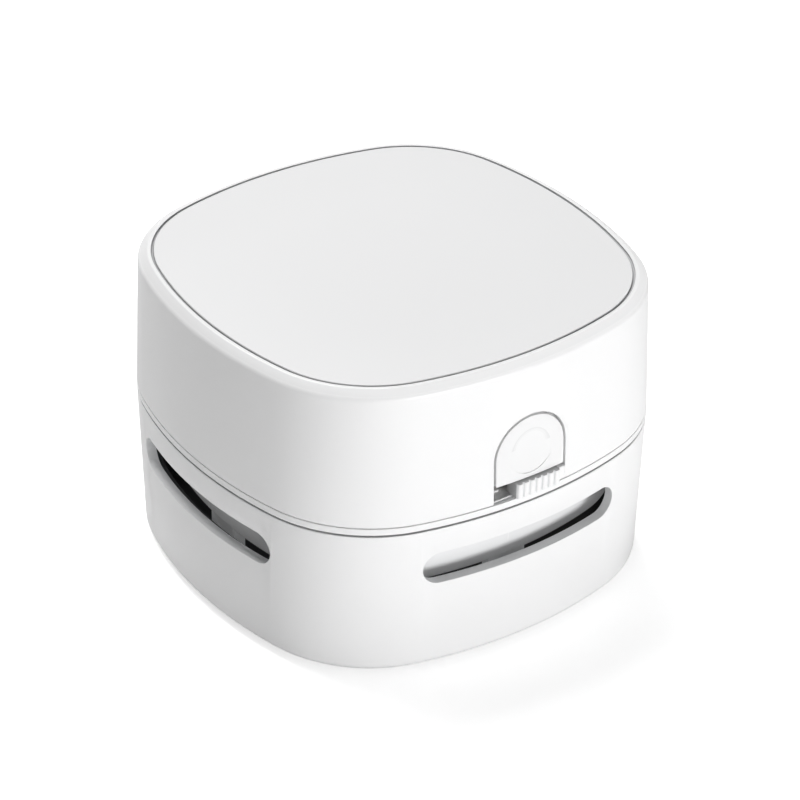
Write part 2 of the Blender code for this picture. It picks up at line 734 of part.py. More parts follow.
def dust_cup(look, parent):
    """The light cup that the slots show, with the filter's ledge and a collar round the inlet."""
    sump_inset = CUP_SUMP_INSET
    edge = [
        level(CUP_INSET + inward, CUP_BOTTOM + CUP_FILLET - down)
        for inward, down in fillet(CUP_FILLET, 0, QUARTER_TURN)
    ]
    wall = CUP_INSET + CUP_WALL
    cup = piece(
        solid(
            level(sump_inset, CUP_SUMP_BOTTOM + CUP_WALL),
            level(wall, CUP_BOTTOM + CUP_WALL),
            level(wall, CUP_LEDGE_TOP - CUP_LEDGE_THICKNESS - CUP_LEDGE_REACH),
            level(wall + CUP_LEDGE_REACH, CUP_LEDGE_TOP - CUP_LEDGE_THICKNESS),
            level(wall + CUP_LEDGE_REACH, CUP_LEDGE_TOP),
            level(wall, CUP_LEDGE_TOP),
            level(wall, CUP_RIM),
            level(CUP_INSET, CUP_RIM),
            *edge,
            level(sump_inset, CUP_SUMP_BOTTOM),
        ),
        "dust_cup",
        look,
        parent,
    )
    additions = bmesh.new()
    tab_front = CUP_HALF - sagitta(CUP_TAB_HALF_WIDTH)
    tab_back = CUP_HALF - CUP_TAB_DEPTH
    for x, y in ((0, -1), (1, 0), (0, 1), (-1, 0)):
        low = (
            min(x * tab_back, x * tab_front) - abs(y) * CUP_TAB_HALF_WIDTH,
            min(y * tab_back, y * tab_front) - abs(x) * CUP_TAB_HALF_WIDTH,
            BOSS_TOP + SEAT_GAP,
        )
        high = (
            max(x * tab_back, x * tab_front) + abs(y) * CUP_TAB_HALF_WIDTH,
            max(y * tab_back, y * tab_front) + abs(x) * CUP_TAB_HALF_WIDTH,
            CUP_BOTTOM + CUP_FILLET,
        )
        block(additions, low, high)
    passage = CHIMNEY_WALL + SEAT_GAP
    collar = stadium(
        INLET_HALF_LENGTH + passage + CUP_WALL,
        INLET_HALF_WIDTH + passage + CUP_WALL,
    )
    collar_top = CUP_SUMP_BOTTOM + CUP_WALL + CUP_COLLAR_HEIGHT
    prism(additions, collar, CUP_SUMP_BOTTOM + CUP_WALL / 2, collar_top)
    join(cup, additions, "cup_additions")
    hole = stadium(INLET_HALF_LENGTH + passage, INLET_HALF_WIDTH + passage)
    cut(cup, prism(bmesh.new(), hole, CUP_SUMP_BOTTOM - OVERRUN, collar_top + OVERRUN), "cup_hole")


def cup_seal(look, parent):
    low = CUP_RIM + SEAT_GAP
    rings = (
        level(CUP_INSET, low),
        level(CUP_INSET, SEAL_TOP),
        level(CUP_INSET + CUP_WALL, SEAL_TOP),
        level(CUP_INSET + CUP_WALL, low),
    )
    piece(solid(*rings, hollow=True), "cup_seal", look, parent)


def feet_and_tray_screws(foot_look, screw_look, parent):
    top = SHELL_BOTTOM + FOOT_SINK - SEAT_GAP
    for number, (x, y) in enumerate(corner_places(FOOT_PLACE), 1):
        rings = [
            circle(FOOT_RADIUS - FOOT_BEVEL, 0, SCREW_STEPS, x, y),
            circle(FOOT_RADIUS, FOOT_BEVEL, SCREW_STEPS, x, y),
            circle(FOOT_RADIUS, top, SCREW_STEPS, x, y),
        ]
        piece(solid(*rings), f"foot_{number}", foot_look, parent)
    bottom = SHELL_BOTTOM + SCREW_HEAD_SINK
    for number, (x, y) in enumerate(side_places(FLANGE_MIDDLE), 1):
        length = min(SCREW_LENGTH, BOSS_TOP - BOSS_ROOF - SEAT_GAP - bottom - SCREW_HEAD_HEIGHT)
        rings = screw_rings(x, y, bottom, SCREW_HEAD_RADIUS, SCREW_HEAD_HEIGHT, length)
        piece(solid(*rings), f"tray_screw_{number}", screw_look, parent)


def filter_insert(frame_look, mesh_look, parent):
    """A frame that hangs on the cup's ledge, with a pull, and the pleated filter in it."""
    outer = CUP_INSET + CUP_WALL + SEAT_GAP
    inner = outer + FILTER_FRAME_WIDTH
    floor_top = FILTER_BOTTOM + FILTER_FLOOR_THICKNESS
    rings = (
        level(outer, FILTER_BOTTOM),
        level(outer, FILTER_TOP),
        level(inner, FILTER_TOP),
        level(inner, floor_top),
        level(inner + FILTER_FLOOR_WIDTH, floor_top),
        level(inner + FILTER_FLOOR_WIDTH, FILTER_BOTTOM),
    )
    frame = piece(solid(*rings, hollow=True), "filter_frame", frame_look, parent)
    reach = BODY_HALF - inner + WELD_DEPTH
    handle_bottom = FILTER_TOP - HANDLE_THICKNESS
    bar = bmesh.new()
    low = (-reach, -HANDLE_HALF_WIDTH, handle_bottom)
    block(bar, low, (reach, HANDLE_HALF_WIDTH, FILTER_TOP))
    join(frame, bar, "filter_handle")
    pull_bottom = FILTER_TOP - WELD_DEPTH
    pull = arch(PULL_RADIUS, pull_bottom, pull_bottom)[1:-1]
    thickness = HANDLE_THICKNESS / 2
    join(frame, prism(bmesh.new(), pull, -thickness, thickness, "Y"), "filter_pull")

    bottom = floor_top + SEAT_GAP
    half = BODY_HALF - inner
    count = 2 * PLEAT_COUNT
    pleats = [
        (-half + 2 * half * step / count, bottom + (PLEAT_HEIGHT if step % 2 else 0))
        for step in range(count + 1)
    ]
    folded = pleats + [(x, z + PLEAT_THICKNESS) for x, z in reversed(pleats)]
    media = piece(prism(bmesh.new(), folded, -half, half, "Y"), "filter_media", mesh_look, parent)
    bound = solid(level(inner + SEAT_GAP, bottom - OVERRUN), level(inner + SEAT_GAP, FILTER_TOP))
    keep(media, bound, "filter_bound")


def chassis(look, parent):
    """The floor of the upper half: a deck with the rim that shows, air windows, seats and brackets."""
    deck = piece(solid(level(0, DECK_BOTTOM), level(0, DECK_TOP)), "chassis", look, parent)
    low_root = DECK_BOTTOM + WELD_DEPTH
    high_root = DECK_TOP - WELD_DEPTH

    seal_wall = [
        level(CUP_INSET, SEAL_TOP + SEAT_GAP),
        level(CUP_INSET, low_root),
        level(CUP_INSET + CUP_WALL, low_root),
        level(CUP_INSET + CUP_WALL, SEAL_TOP + SEAT_GAP),
    ]
    join(deck, solid(*seal_wall, hollow=True), "seal_wall")

    tongues = bmesh.new()
    for side in SIDES:
        for start, end in ((TONGUE_FROM, TONGUE_TO), (-TONGUE_TO, -TONGUE_FROM)):
            inset = LOWER_WALL + SEAT_GAP + draft_at(DECK_BOTTOM - TONGUE_DROP)
            shape = sector(side, inset, inset + TONGUE_THICKNESS, start, end)
            prism(tongues, shape, DECK_BOTTOM - TONGUE_DROP, low_root)
            inset = UPPER_WALL + SEAT_GAP + draft_at(DECK_TOP + TONGUE_RISE)
            shape = sector(side, inset, inset + TONGUE_THICKNESS, start, end)
            prism(tongues, shape, high_root, DECK_TOP + TONGUE_RISE)
    join(deck, tongues, "tongue_shapes")

    ring_inner = COVER_RADIUS + SEAT_GAP
    ring_outer = ring_inner + COVER_RING_WALL
    ring_top = DECK_TOP + COVER_RING_HEIGHT
    ring = (
        circle(ring_outer, high_root),
        circle(ring_outer, ring_top),
        circle(ring_inner, ring_top),
        circle(ring_inner, high_root),
    )
    join(deck, solid(*ring, hollow=True), "cover_ring")

    fittings = bmesh.new()
    bracket_top = SPRING_LEVEL + BRACKET_MARGIN
    bracket_back = -BRACKET_OFFSET + BRACKET_THICKNESS
    block(
        fittings,
        (-BRACKET_HALF_WIDTH, -BRACKET_OFFSET, high_root),
        (BRACKET_HALF_WIDTH, bracket_back, bracket_top),
    )
    cradle_end = PACK_HALF_LENGTH + SEAT_GAP
    cradle_inner = -PACK_INNER + SEAT_GAP
    cradle = [
        (-PACK_OUTER, -cradle_end - CRADLE_WALL),
        (cradle_inner + CRADLE_WALL, -cradle_end - CRADLE_WALL),
        (cradle_inner + CRADLE_WALL, cradle_end + CRADLE_WALL),
        (-PACK_OUTER, cradle_end + CRADLE_WALL),
        (-PACK_OUTER, cradle_end),
        (cradle_inner, cradle_end),
        (cradle_inner, -cradle_end),
        (-PACK_OUTER, -cradle_end),
    ]
    prism(fittings, cradle, high_root, DECK_TOP + CRADLE_HEIGHT)
    for side in (-1, 1):
        middle = side * (BOARD_HALF_WIDTH - BOARD_BITE + BOARD_GUIDE_HALF_WIDTH)
        low = (middle - BOARD_GUIDE_HALF_WIDTH, BOARD_OFFSET - SEAT_GAP - BOARD_GUIDE_CHEEK, high_root)
        high = (middle + BOARD_GUIDE_HALF_WIDTH, BOARD_BACK + SEAT_GAP + BOARD_GUIDE_CHEEK)
        block(fittings, low, (*high, DECK_TOP + BOARD_GUIDE_HEIGHT))
    join(deck, fittings, "deck_fittings")

    pins = bmesh.new()
    for side in (-1, 1):
        ends = (-BRACKET_OFFSET + WELD_DEPTH, -BRACKET_OFFSET - PIN_LENGTH)
        prism(pins, spring_pin_outline(side), *ends, "Y")
    join(deck, pins, "bracket_pins")

    holes = bmesh.new()
    through = (DECK_BOTTOM - OVERRUN, DECK_TOP + SEAT_GAP)
    for side in SIDES:
        start = LATCH_WINDOW_FROM if side == "front" else WINDOW_FROM
        for near, far in ((start, WINDOW_TO), (-WINDOW_TO, -start)):
            prism(holes, sector(side, WINDOW_OUTER_INSET, WINDOW_INNER_INSET, near, far), *through)
    for index in range(INTAKE_SLOTS):
        turn = FULL_TURN * (index + 0.5) / INTAKE_SLOTS
        half = INTAKE_SLOT_HALF_WIDTH
        slot = rectangle(INTAKE_HUB_RADIUS + half, -half, INTAKE_RADIUS, half)
        prism(holes, [turned_point(x, y, turn) for x, y in slot], *through)
    for x, y in corner_places(POST_PLACE):
        skin(holes, [circle(SCREW_SHANK_RADIUS + SEAT_GAP, z, SCREW_STEPS, x, y) for z in through])
    cut(deck, holes, "deck_holes")

    groove = bmesh.new()
    reach = BOARD_HALF_WIDTH + SEAT_GAP
    low = (-reach, BOARD_OFFSET - SEAT_GAP, DECK_TOP)
    block(groove, low, (reach, BOARD_BACK + SEAT_GAP, DECK_TOP + BOARD_GUIDE_HEIGHT + OVERRUN))
    cut(deck, groove, "board_groove")


def spring_pin_outline(side):
    """The outline of one pin that holds a return spring, seen from the front."""
    x = side * SPRING_OFFSET
    z = SPRING_LEVEL
    return [(across + x, up + z) for across, up, _ in circle(PIN_RADIUS, 0, SCREW_STEPS)]


def upper_wall_slab(outer, inner):
    """A closed band of the upper shell's wall between two insets."""
    return solid(
        drafted(outer, UPPER_BOTTOM),
        drafted(outer, WALL_TOP),
        drafted(inner, WALL_TOP),
        drafted(inner, UPPER_BOTTOM),
        hollow=True,
    )


def upper_shell(look, parent):
    """The white cover: a tapering wall, a sloping rim and a narrow flat ring round the top panel."""
    ledge = PANEL_INSET + LEDGE_REACH
    shell = piece(
        solid(
            drafted(0, UPPER_BOTTOM),
            drafted(0, WALL_TOP),
            level(PANEL_INSET - RIM_FLAT, TOP),
            level(PANEL_INSET, TOP),
            level(PANEL_INSET, LEDGE_TOP),
            level(ledge, LEDGE_TOP),
            level(ledge, LEDGE_BOTTOM),
            drafted(UPPER_WALL, LEDGE_BOTTOM),
            drafted(UPPER_WALL, UPPER_BOTTOM),
            hollow=True,
        ),
        "upper_shell",
        look,
        parent,
    )
    posts = bmesh.new()
    for x, y in corner_places(POST_PLACE):
        ends = (DECK_TOP + SEAT_GAP, LEDGE_BOTTOM + WELD_DEPTH)
        skin(posts, [circle(POST_RADIUS, z, SCREW_STEPS, x, y) for z in ends])
    join(shell, posts, "post_shapes")

    holes = bmesh.new()
    for x, y in corner_places(POST_PLACE):
        ends = (DECK_TOP - OVERRUN, DECK_TOP + POST_BORE_DEPTH)
        skin(holes, [circle(SCREW_SHANK_RADIUS + SEAT_GAP, z, SCREW_STEPS, x, y) for z in ends])
    outside = BODY_HALF + OVERRUN
    inside = BODY_HALF - UPPER_DRAFT - UPPER_WALL - sagitta(SLOT_HALF_LENGTH)
    opening = arch(ARCH_HALF_WIDTH, UPPER_BOTTOM - OVERRUN, ARCH_CENTRE)
    prism(holes, opening, -outside, -inside, "Y")
    mouth = stadium(SOCKET_HALF_WIDTH + SEAT_GAP, SOCKET_HALF_HEIGHT + SEAT_GAP)
    prism(holes, [(x, z + SOCKET_LEVEL) for x, z in mouth], inside, outside, "Y")
    window = circle(LIGHT_RADIUS + SEAT_GAP, 0, SCREW_STEPS)
    prism(holes, [(x + LIGHT_OFFSET, z + SOCKET_LEVEL) for x, z, _ in window], inside, outside, "Y")
    cut(shell, holes, "shell_openings")


def top_panel(look, parent):
    """The flat inlaid lid, with a skirt inside the shell's ledge."""
    edge = PANEL_INSET + PANEL_GROOVE
    skirt = PANEL_INSET + LEDGE_REACH + SEAT_GAP
    skirt_bottom = PANEL_BOTTOM - SEAT_GAP - SKIRT_HEIGHT
    rings = (
        level(skirt + SKIRT_THICKNESS, PANEL_BOTTOM),
        level(skirt + SKIRT_THICKNESS, skirt_bottom),
        level(skirt, skirt_bottom),
        level(skirt, PANEL_BOTTOM),
        level(edge, PANEL_BOTTOM),
        level(edge, TOP - PANEL_BEVEL),
        level(edge + PANEL_BEVEL, TOP),
    )
    piece(solid(*rings), "top_panel", look, parent)


def case_screws(look, parent):
    for number, (x, y) in enumerate(corner_places(POST_PLACE), 1):
        bottom = DECK_BOTTOM - SEAT_GAP - SCREW_HEAD_HEIGHT
        rings = screw_rings(x, y, bottom, CASE_HEAD_RADIUS, SCREW_HEAD_HEIGHT, SCREW_LENGTH)
        piece(solid(*rings), f"case_screw_{number}", look, parent)


def fan_cover(look, parent):
    """A turned bowl over the fan, with outlets round its wall, that carries the motor."""
    inner = COVER_RADIUS - COVER_WALL
    crown = [
        circle(COVER_RADIUS - inward, COVER_TOP - COVER_FILLET + up)
        for inward, up in fillet(COVER_FILLET, 0, QUARTER_TURN, 3)
    ]
    cover = piece(
        solid(
            circle(inner, COVER_CEILING),
            circle(inner, COVER_BOTTOM),
            circle(COVER_RADIUS, COVER_BOTTOM),
            *crown,
        ),
        "fan_cover",
        look,
        parent,
    )
    holes = bmesh.new()
    low = COVER_BOTTOM + OUTLET_RISE
    for index in range(OUTLET_COUNT):
        turn = FULL_TURN * index / OUTLET_COUNT
        chord = math.sqrt(inner**2 - OUTLET_HALF_WIDTH**2) - COVER_WALL
        mouth = rectangle(chord, -OUTLET_HALF_WIDTH, COVER_RADIUS + OVERRUN, OUTLET_HALF_WIDTH)
        prism(holes, [turned_point(x, y, turn) for x, y in mouth], low, low + OUTLET_HEIGHT)
    ends = (COVER_CEILING - OVERRUN, COVER_TOP + OVERRUN)
    skin(holes, [circle(MOTOR_BOSS_RADIUS + SEAT_GAP, z, SCREW_STEPS) for z in ends])
    for side in (-1, 1):
        x = side * MOTOR_SCREW_OFFSET
        skin(holes, [circle(SCREW_SHANK_RADIUS + SEAT_GAP, z, SCREW_STEPS, x) for z in ends])
    cut(cover, holes, "cover_holes")


def motor(can_look, cap_look, screw_look, parent):
    bore = SHAFT_RADIUS + SEAT_GAP
    can = piece(
        solid(
            circle(bore, MOTOR_BOTTOM - MOTOR_BOSS_HEIGHT, MOTOR_STEPS),
            circle(MOTOR_BOSS_RADIUS, MOTOR_BOTTOM - MOTOR_BOSS_HEIGHT, MOTOR_STEPS),
            circle(MOTOR_BOSS_RADIUS, MOTOR_BOTTOM, MOTOR_STEPS),
            circle(MOTOR_RADIUS, MOTOR_BOTTOM, MOTOR_STEPS),
            circle(MOTOR_RADIUS, MOTOR_TOP, MOTOR_STEPS),
            circle(MOTOR_RADIUS - MOTOR_WALL, MOTOR_TOP, MOTOR_STEPS),
            circle(MOTOR_RADIUS - MOTOR_WALL, MOTOR_FLOOR, MOTOR_STEPS),
            circle(bore, MOTOR_FLOOR, MOTOR_STEPS),
            hollow=True,
        ),
        "motor_can",
        can_look,
        parent,
    )
    threads = bmesh.new()
    for side in (-1, 1):
        x = side * MOTOR_SCREW_OFFSET
        ends = (MOTOR_BOTTOM - OVERRUN, MOTOR_FLOOR + OVERRUN)
        skin(threads, [circle(SCREW_SHANK_RADIUS + SEAT_GAP, z, SCREW_STEPS, x) for z in ends])
    cut(can, threads, "motor_threads")
    for number, side in enumerate((-1, 1), 1):
        rings = screw_rings(
            side * MOTOR_SCREW_OFFSET,
            0,
            COVER_CEILING - SEAT_GAP - MOTOR_SCREW_HEAD_HEIGHT,
            MOTOR_SCREW_HEAD_RADIUS,
            MOTOR_SCREW_HEAD_HEIGHT,
            MOTOR_SCREW_LENGTH,
        )
        piece(solid(*rings), f"motor_screw_{number}", screw_look, parent)

    plug = MOTOR_RADIUS - MOTOR_WALL - SEAT_GAP
    flange_bottom = MOTOR_TOP + SEAT_GAP
    cap_top = flange_bottom + CAP_HEIGHT
    cap = piece(
        solid(
            circle(plug, MOTOR_TOP - CAP_PLUG_HEIGHT, MOTOR_STEPS),
            circle(plug, flange_bottom, MOTOR_STEPS),
            circle(MOTOR_RADIUS, flange_bottom, MOTOR_STEPS),
            circle(MOTOR_RADIUS, cap_top, MOTOR_STEPS),
        ),
        "motor_end_cap",
        cap_look,
        parent,
    )
    terminals = bmesh.new()
    for side in (-1, 1):
        x = side * TERMINAL_OFFSET
        low = (x - TERMINAL_THICKNESS / 2, -TERMINAL_HALF_WIDTH, cap_top - WELD_DEPTH)
        high = (x + TERMINAL_THICKNESS / 2, TERMINAL_HALF_WIDTH, cap_top + TERMINAL_HEIGHT)
        block(terminals, low, high)
    join(cap, terminals, "motor_terminals")


def motor_rotor(look, parent):
    """The shaft with the rotor's core on it."""
    low = MOTOR_FLOOR + ROTOR_LIFT
    rings = (
        circle(SHAFT_RADIUS, IMPELLER_BOTTOM + HUB_NOSE, SCREW_STEPS),
        circle(SHAFT_RADIUS, low, SCREW_STEPS),
        circle(ROTOR_RADIUS, low, SCREW_STEPS),
        circle(ROTOR_RADIUS, low + ROTOR_HEIGHT, SCREW_STEPS),
        circle(SHAFT_RADIUS, low + ROTOR_HEIGHT, SCREW_STEPS),
        circle(SHAFT_RADIUS, MOTOR_TOP - CAP_PLUG_HEIGHT - SEAT_GAP, SCREW_STEPS),
    )
    piece(solid(*rings), "motor_rotor", look, parent)


def impeller(look, parent):
    """A centrifugal wheel with backswept blades under its plate."""
    plate_bottom = IMPELLER_TOP - IMPELLER_PLATE
    wheel = piece(
        solid(
            circle(HUB_NOSE_RADIUS, IMPELLER_BOTTOM),
            circle(HUB_RADIUS, IMPELLER_BOTTOM + HUB_NOSE),
            circle(HUB_RADIUS, plate_bottom),
            circle(IMPELLER_RADIUS, plate_bottom),
            circle(IMPELLER_RADIUS, IMPELLER_TOP),
        ),
        "impeller",
        look,
        parent,
    )
    root = HUB_RADIUS - BLADE_THICKNESS
    tip = IMPELLER_RADIUS - BLADE_THICKNESS / 2
    blades = bmesh.new()
    for index in range(BLADE_COUNT):
        faces = ([], [])
        for step in range(BLADE_STEPS + 1):
            share = step / BLADE_STEPS
            radius = root + (tip - root) * share
            turn = FULL_TURN * index / BLADE_COUNT - BLADE_SWEEP * share
            half_angle = BLADE_THICKNESS / 2 / radius
            for face, side in zip(faces, (-1, 1)):
                angle = turn + side * half_angle
                face.append((radius * math.cos(angle), radius * math.sin(angle)))
        shape = faces[0] + faces[1][::-1]
        prism(blades, shape, IMPELLER_BOTTOM + HUB_NOSE, plate_bottom + IMPELLER_PLATE / 2)
    join(wheel, blades, "blade_shapes")
    bore_ends = (IMPELLER_BOTTOM + HUB_NOSE - SEAT_GAP, IMPELLER_TOP + OVERRUN)
    bore = [circle(SHAFT_RADIUS + SEAT_GAP, z, SCREW_STEPS) for z in bore_ends]
    cut(wheel, solid(*bore), "impeller_bore")


def battery_pack(look, parent):
    pack = bmesh.new()
    block(
        pack,
        (-PACK_OUTER, -PACK_HALF_LENGTH, PACK_BOTTOM),
        (-PACK_INNER, PACK_HALF_LENGTH, PACK_BOTTOM + PACK_HEIGHT),
    )
    soften(piece(pack, "battery_pack", look, parent), PACK_BEVEL)


def control_board(board_look, socket_look, light_look, parent):
    """The board in its guides, with the charging socket and the light that reach the rear wall."""
    board = bmesh.new()
    low = (-BOARD_HALF_WIDTH, BOARD_OFFSET, BOARD_BOTTOM)
    block(board, low, (BOARD_HALF_WIDTH, BOARD_BACK, BOARD_BOTTOM + BOARD_HEIGHT))
    board = piece(board, "control_board", board_look, parent)
    chips = bmesh.new()
    for side in (-1, 1):
        middle = side * CHIP_OFFSET
        low = (middle - CHIP_HALF_WIDTH, BOARD_OFFSET - CHIP_THICKNESS, SOCKET_LEVEL - CHIP_HALF_WIDTH)
        block(chips, low, (middle + CHIP_HALF_WIDTH, BOARD_OFFSET + WELD_DEPTH, SOCKET_LEVEL + CHIP_HALF_WIDTH))
    join(board, chips, "chip_shapes")

    start = BOARD_BACK + SEAT_GAP
    end = BODY_HALF - draft_at(SOCKET_LEVEL) - SOCKET_SINK

    def section(inset, y):
        points = stadium(SOCKET_HALF_WIDTH - inset, SOCKET_HALF_HEIGHT - inset)
        return [(x, y, z + SOCKET_LEVEL) for x, z in points]

    bottom = end - SOCKET_DEPTH
    rings = (section(0, start), section(0, end), section(SOCKET_WALL, end), section(SOCKET_WALL, bottom))
    socket = piece(solid(*rings), "charging_socket", socket_look, parent)
    tongue = bmesh.new()
    low = (-SOCKET_TONGUE_HALF_WIDTH, bottom - WELD_DEPTH, SOCKET_LEVEL - SOCKET_TONGUE_HALF_HEIGHT)
    high = (SOCKET_TONGUE_HALF_WIDTH, bottom + SOCKET_TONGUE_LENGTH, SOCKET_LEVEL + SOCKET_TONGUE_HALF_HEIGHT)
    block(tongue, low, high)
    join(socket, tongue, "socket_tongue")

    light = circle(LIGHT_RADIUS, 0, SCREW_STEPS)
    outline = [(x + LIGHT_OFFSET, z + SOCKET_LEVEL) for x, z, _ in light]
    front = end - sagitta(LIGHT_OFFSET)
    piece(prism(bmesh.new(), outline, start, front, "Y"), "charge_light", light_look, parent)


def release_button(look, parent):
    """The push button: a flush curved face, a flange behind the wall and two latch legs."""
    flange_outer = UPPER_WALL + SEAT_GAP
    flange_inner = flange_outer + BUTTON_FLANGE
    reach = (-BODY_HALF - OVERRUN, -BODY_HALF + flange_inner + sagitta(SLOT_HALF_LENGTH) + UPPER_DRAFT)
    face = arch(ARCH_HALF_WIDTH - BUTTON_GAP, BUTTON_BOTTOM, ARCH_CENTRE)
    button = piece(prism(bmesh.new(), face, *reach, "Y"), "release_button", look, parent)
    keep(button, upper_wall_slab(0, flange_outer + BUTTON_FLANGE / 3), "button_slab")

    wide = LEG_INNER + LEG_WIDTH
    crown = ARCH_CENTRE + ARCH_HALF_WIDTH + BUTTON_FLANGE_MARGIN
    bottom = BUTTON_BOTTOM + BUTTON_FLANGE_LIFT
    flange = helper(prism(bmesh.new(), rectangle(-wide, bottom, wide, crown), *reach, "Y"), "button_flange", parent)
    keep(flange, upper_wall_slab(flange_outer, flange_inner), "flange_slab")
    combine(button, "UNION", flange)

    legs = bmesh.new()
    hook_bottom = HOOK_TOP - HOOK_HEIGHT
    for side in (-1, 1):
        profile = [
            (-LEG_BACK, hook_bottom),
            (-HOOK_TIP + HOOK_CHAMFER, hook_bottom),
            (-HOOK_TIP, hook_bottom + HOOK_CHAMFER),
            (-HOOK_TIP, HOOK_TOP),
            (-LEG_FRONT, HOOK_TOP),
            (-LEG_FRONT, bottom + LEG_TOP_LIFT),
            (-LEG_BACK, bottom + LEG_TOP_LIFT),
        ]
        near = side * LEG_INNER
        far = side * (LEG_INNER + LEG_WIDTH)
        prism(legs, profile, near, far, "X")
    join(button, legs, "leg_shapes")

    pins = bmesh.new()
    for side in (-1, 1):
        back = -BODY_HALF + draft_at(SPRING_LEVEL) + flange_inner
        prism(pins, spring_pin_outline(side), back - WELD_DEPTH, back + PIN_LENGTH, "Y")
    join(button, pins, "button_pins")

    cap_radius = (DIMPLE_RADIUS**2 + DIMPLE_DEPTH**2) / (2 * DIMPLE_DEPTH)
    middle = BUTTON_BOTTOM + DIMPLE_RISE
    levels = [(DIMPLE_RADIUS, -OVERRUN)]
    for step in range(DIMPLE_RINGS + 1):
        radius = DIMPLE_RADIUS * (1 - step / (DIMPLE_RINGS + 1))
        levels.append((radius, DIMPLE_DEPTH - cap_radius + math.sqrt(cap_radius**2 - radius**2)))
    rings = []
    for radius, depth in levels:
        outline = [(x, z + middle) for x, z, _ in circle(radius, 0, DIMPLE_STEPS)]
        rings.append([(x, -BODY_HALF + draft_at(z) + sagitta(x) + depth, z) for x, z in outline])
    cut(button, solid(*rings), "dimple_shape")


def release_springs(look, parent):
    """Two small coil springs between the button's flange and the chassis bracket."""
    front = -BODY_HALF + draft_at(SPRING_LEVEL) + UPPER_WALL + SEAT_GAP + BUTTON_FLANGE
    start = front + sagitta(SPRING_OFFSET + SPRING_RADIUS) + SEAT_GAP + SPRING_WIRE_RADIUS
    end = -BRACKET_OFFSET - SEAT_GAP - SPRING_WIRE_RADIUS
    count = round(SPRING_TURNS * SPRING_STEPS)
    for name, side in (("release_spring_left", -1), ("release_spring_right", 1)):
        points = []
        for step in range(count + 1):
            turn = FULL_TURN * step / SPRING_STEPS
            x = side * SPRING_OFFSET + SPRING_RADIUS * math.cos(turn)
            z = SPRING_LEVEL + SPRING_RADIUS * math.sin(turn)
            points.append((x, start + (end - start) * step / count, z))
        tube(name, points, SPRING_WIRE_RADIUS, 1, look, parent)


def tube(name, points, radius, resolution, look, parent):
    """A round bar along a path, with filled ends."""
    curve = bpy.data.curves.new(name, "CURVE")
    curve.dimensions = "3D"
    curve.bevel_depth = radius
    curve.bevel_resolution = resolution
    curve.use_fill_caps = True
    path = curve.splines.new("POLY")
    path.points.add(len(points) - 1)
    for point, place in zip(path.points, points):
        point.co = (*place, 1)
    made = bpy.data.objects.new(name, curve)
    bpy.context.collection.objects.link(made)
    made.data.materials.append(look)
    made.parent = parent
    made.location = [-place for place in parent.location] if parent.parent else (0, 0, 0)
    return made


def power_slider(look, parent):
    """The ribbed slider with the stem that moves the switch."""
    front = BODY_HALF - draft_at(STEM_MIDDLE) + SLIDER_PROUD
    pitch = 2 * SLIDER_HALF_WIDTH / SLIDER_RIBS
    low = SLIDER_OFFSET - SLIDER_HALF_WIDTH
    shape = [(low, -SLIDER_BACK)]
    for rib in range(SLIDER_RIBS):
        start = low + pitch * rib
        slope = pitch * (1 - RIB_FLAT_SHARE) / 2
        shape.append((start, -front + RIB_DEPTH))
        shape.append((start + slope, -front))
        shape.append((start + pitch - slope, -front))
    shape.append((low + pitch * SLIDER_RIBS, -front + RIB_DEPTH))
    shape.append((SLIDER_OFFSET + SLIDER_HALF_WIDTH, -SLIDER_BACK))
    slider = piece(
        prism(bmesh.new(), shape, SLIDER_BOTTOM, SLIDER_BOTTOM + SLIDER_HEIGHT), "power_slider", look, parent
    )
    stem = bmesh.new()
    low = (SLIDER_OFFSET - STEM_HALF_WIDTH, -SLIDER_BACK - WELD_DEPTH, STEM_MIDDLE - STEM_HALF_HEIGHT)
    block(stem, low, (SLIDER_OFFSET + STEM_HALF_WIDTH, -STEM_BACK, STEM_MIDDLE + STEM_HALF_HEIGHT))
    join(slider, stem, "slider_stem")


def switch_and_guide(guide_look, switch_look, parent):
    """The guide that shows behind the slider, and the slide switch behind it."""
    slot_low = SLIDER_OFFSET - SLIDER_TRAVEL - STEM_HALF_WIDTH - SEAT_GAP
    slot_high = SLIDER_OFFSET + STEM_HALF_WIDTH + SEAT_GAP
    slot_half_height = STEM_HALF_HEIGHT + SEAT_GAP
    guide_bottom = DECK_TOP + SEAT_GAP
    guide_top = SLIDER_BOTTOM + SLIDER_HEIGHT
    guide = bmesh.new()
    low = (-GUIDE_HALF_WIDTH, -GUIDE_FRONT, guide_bottom)
    block(guide, low, (GUIDE_HALF_WIDTH, -GUIDE_FRONT + GUIDE_THICKNESS, guide_top))
    guide = piece(guide, "switch_guide", guide_look, parent)
    slot = bmesh.new()
    low = (slot_low, -GUIDE_FRONT - OVERRUN, STEM_MIDDLE - slot_half_height)
    high = (slot_high, -GUIDE_FRONT + GUIDE_THICKNESS + OVERRUN, STEM_MIDDLE + slot_half_height)
    block(slot, low, high)
    cut(guide, slot, "guide_slot")

    switch_bottom = DECK_TOP + SEAT_GAP
    switch = bmesh.new()
    low = (SWITCH_MIDDLE - SWITCH_HALF_LENGTH, -SWITCH_FRONT, switch_bottom)
    high = (SWITCH_MIDDLE + SWITCH_HALF_LENGTH, -SWITCH_FRONT + SWITCH_DEPTH, switch_bottom + SWITCH_HEIGHT)
    block(switch, low, high)
    switch = piece(switch, "slide_switch", switch_look, parent)
    slot = bmesh.new()
    low = (slot_low, -SWITCH_FRONT - OVERRUN, STEM_MIDDLE - slot_half_height)
    high = (slot_high, -STEM_BACK + SEAT_GAP, STEM_MIDDLE + slot_half_height)
    block(slot, low, high)
    cut(switch, slot, "switch_slot")


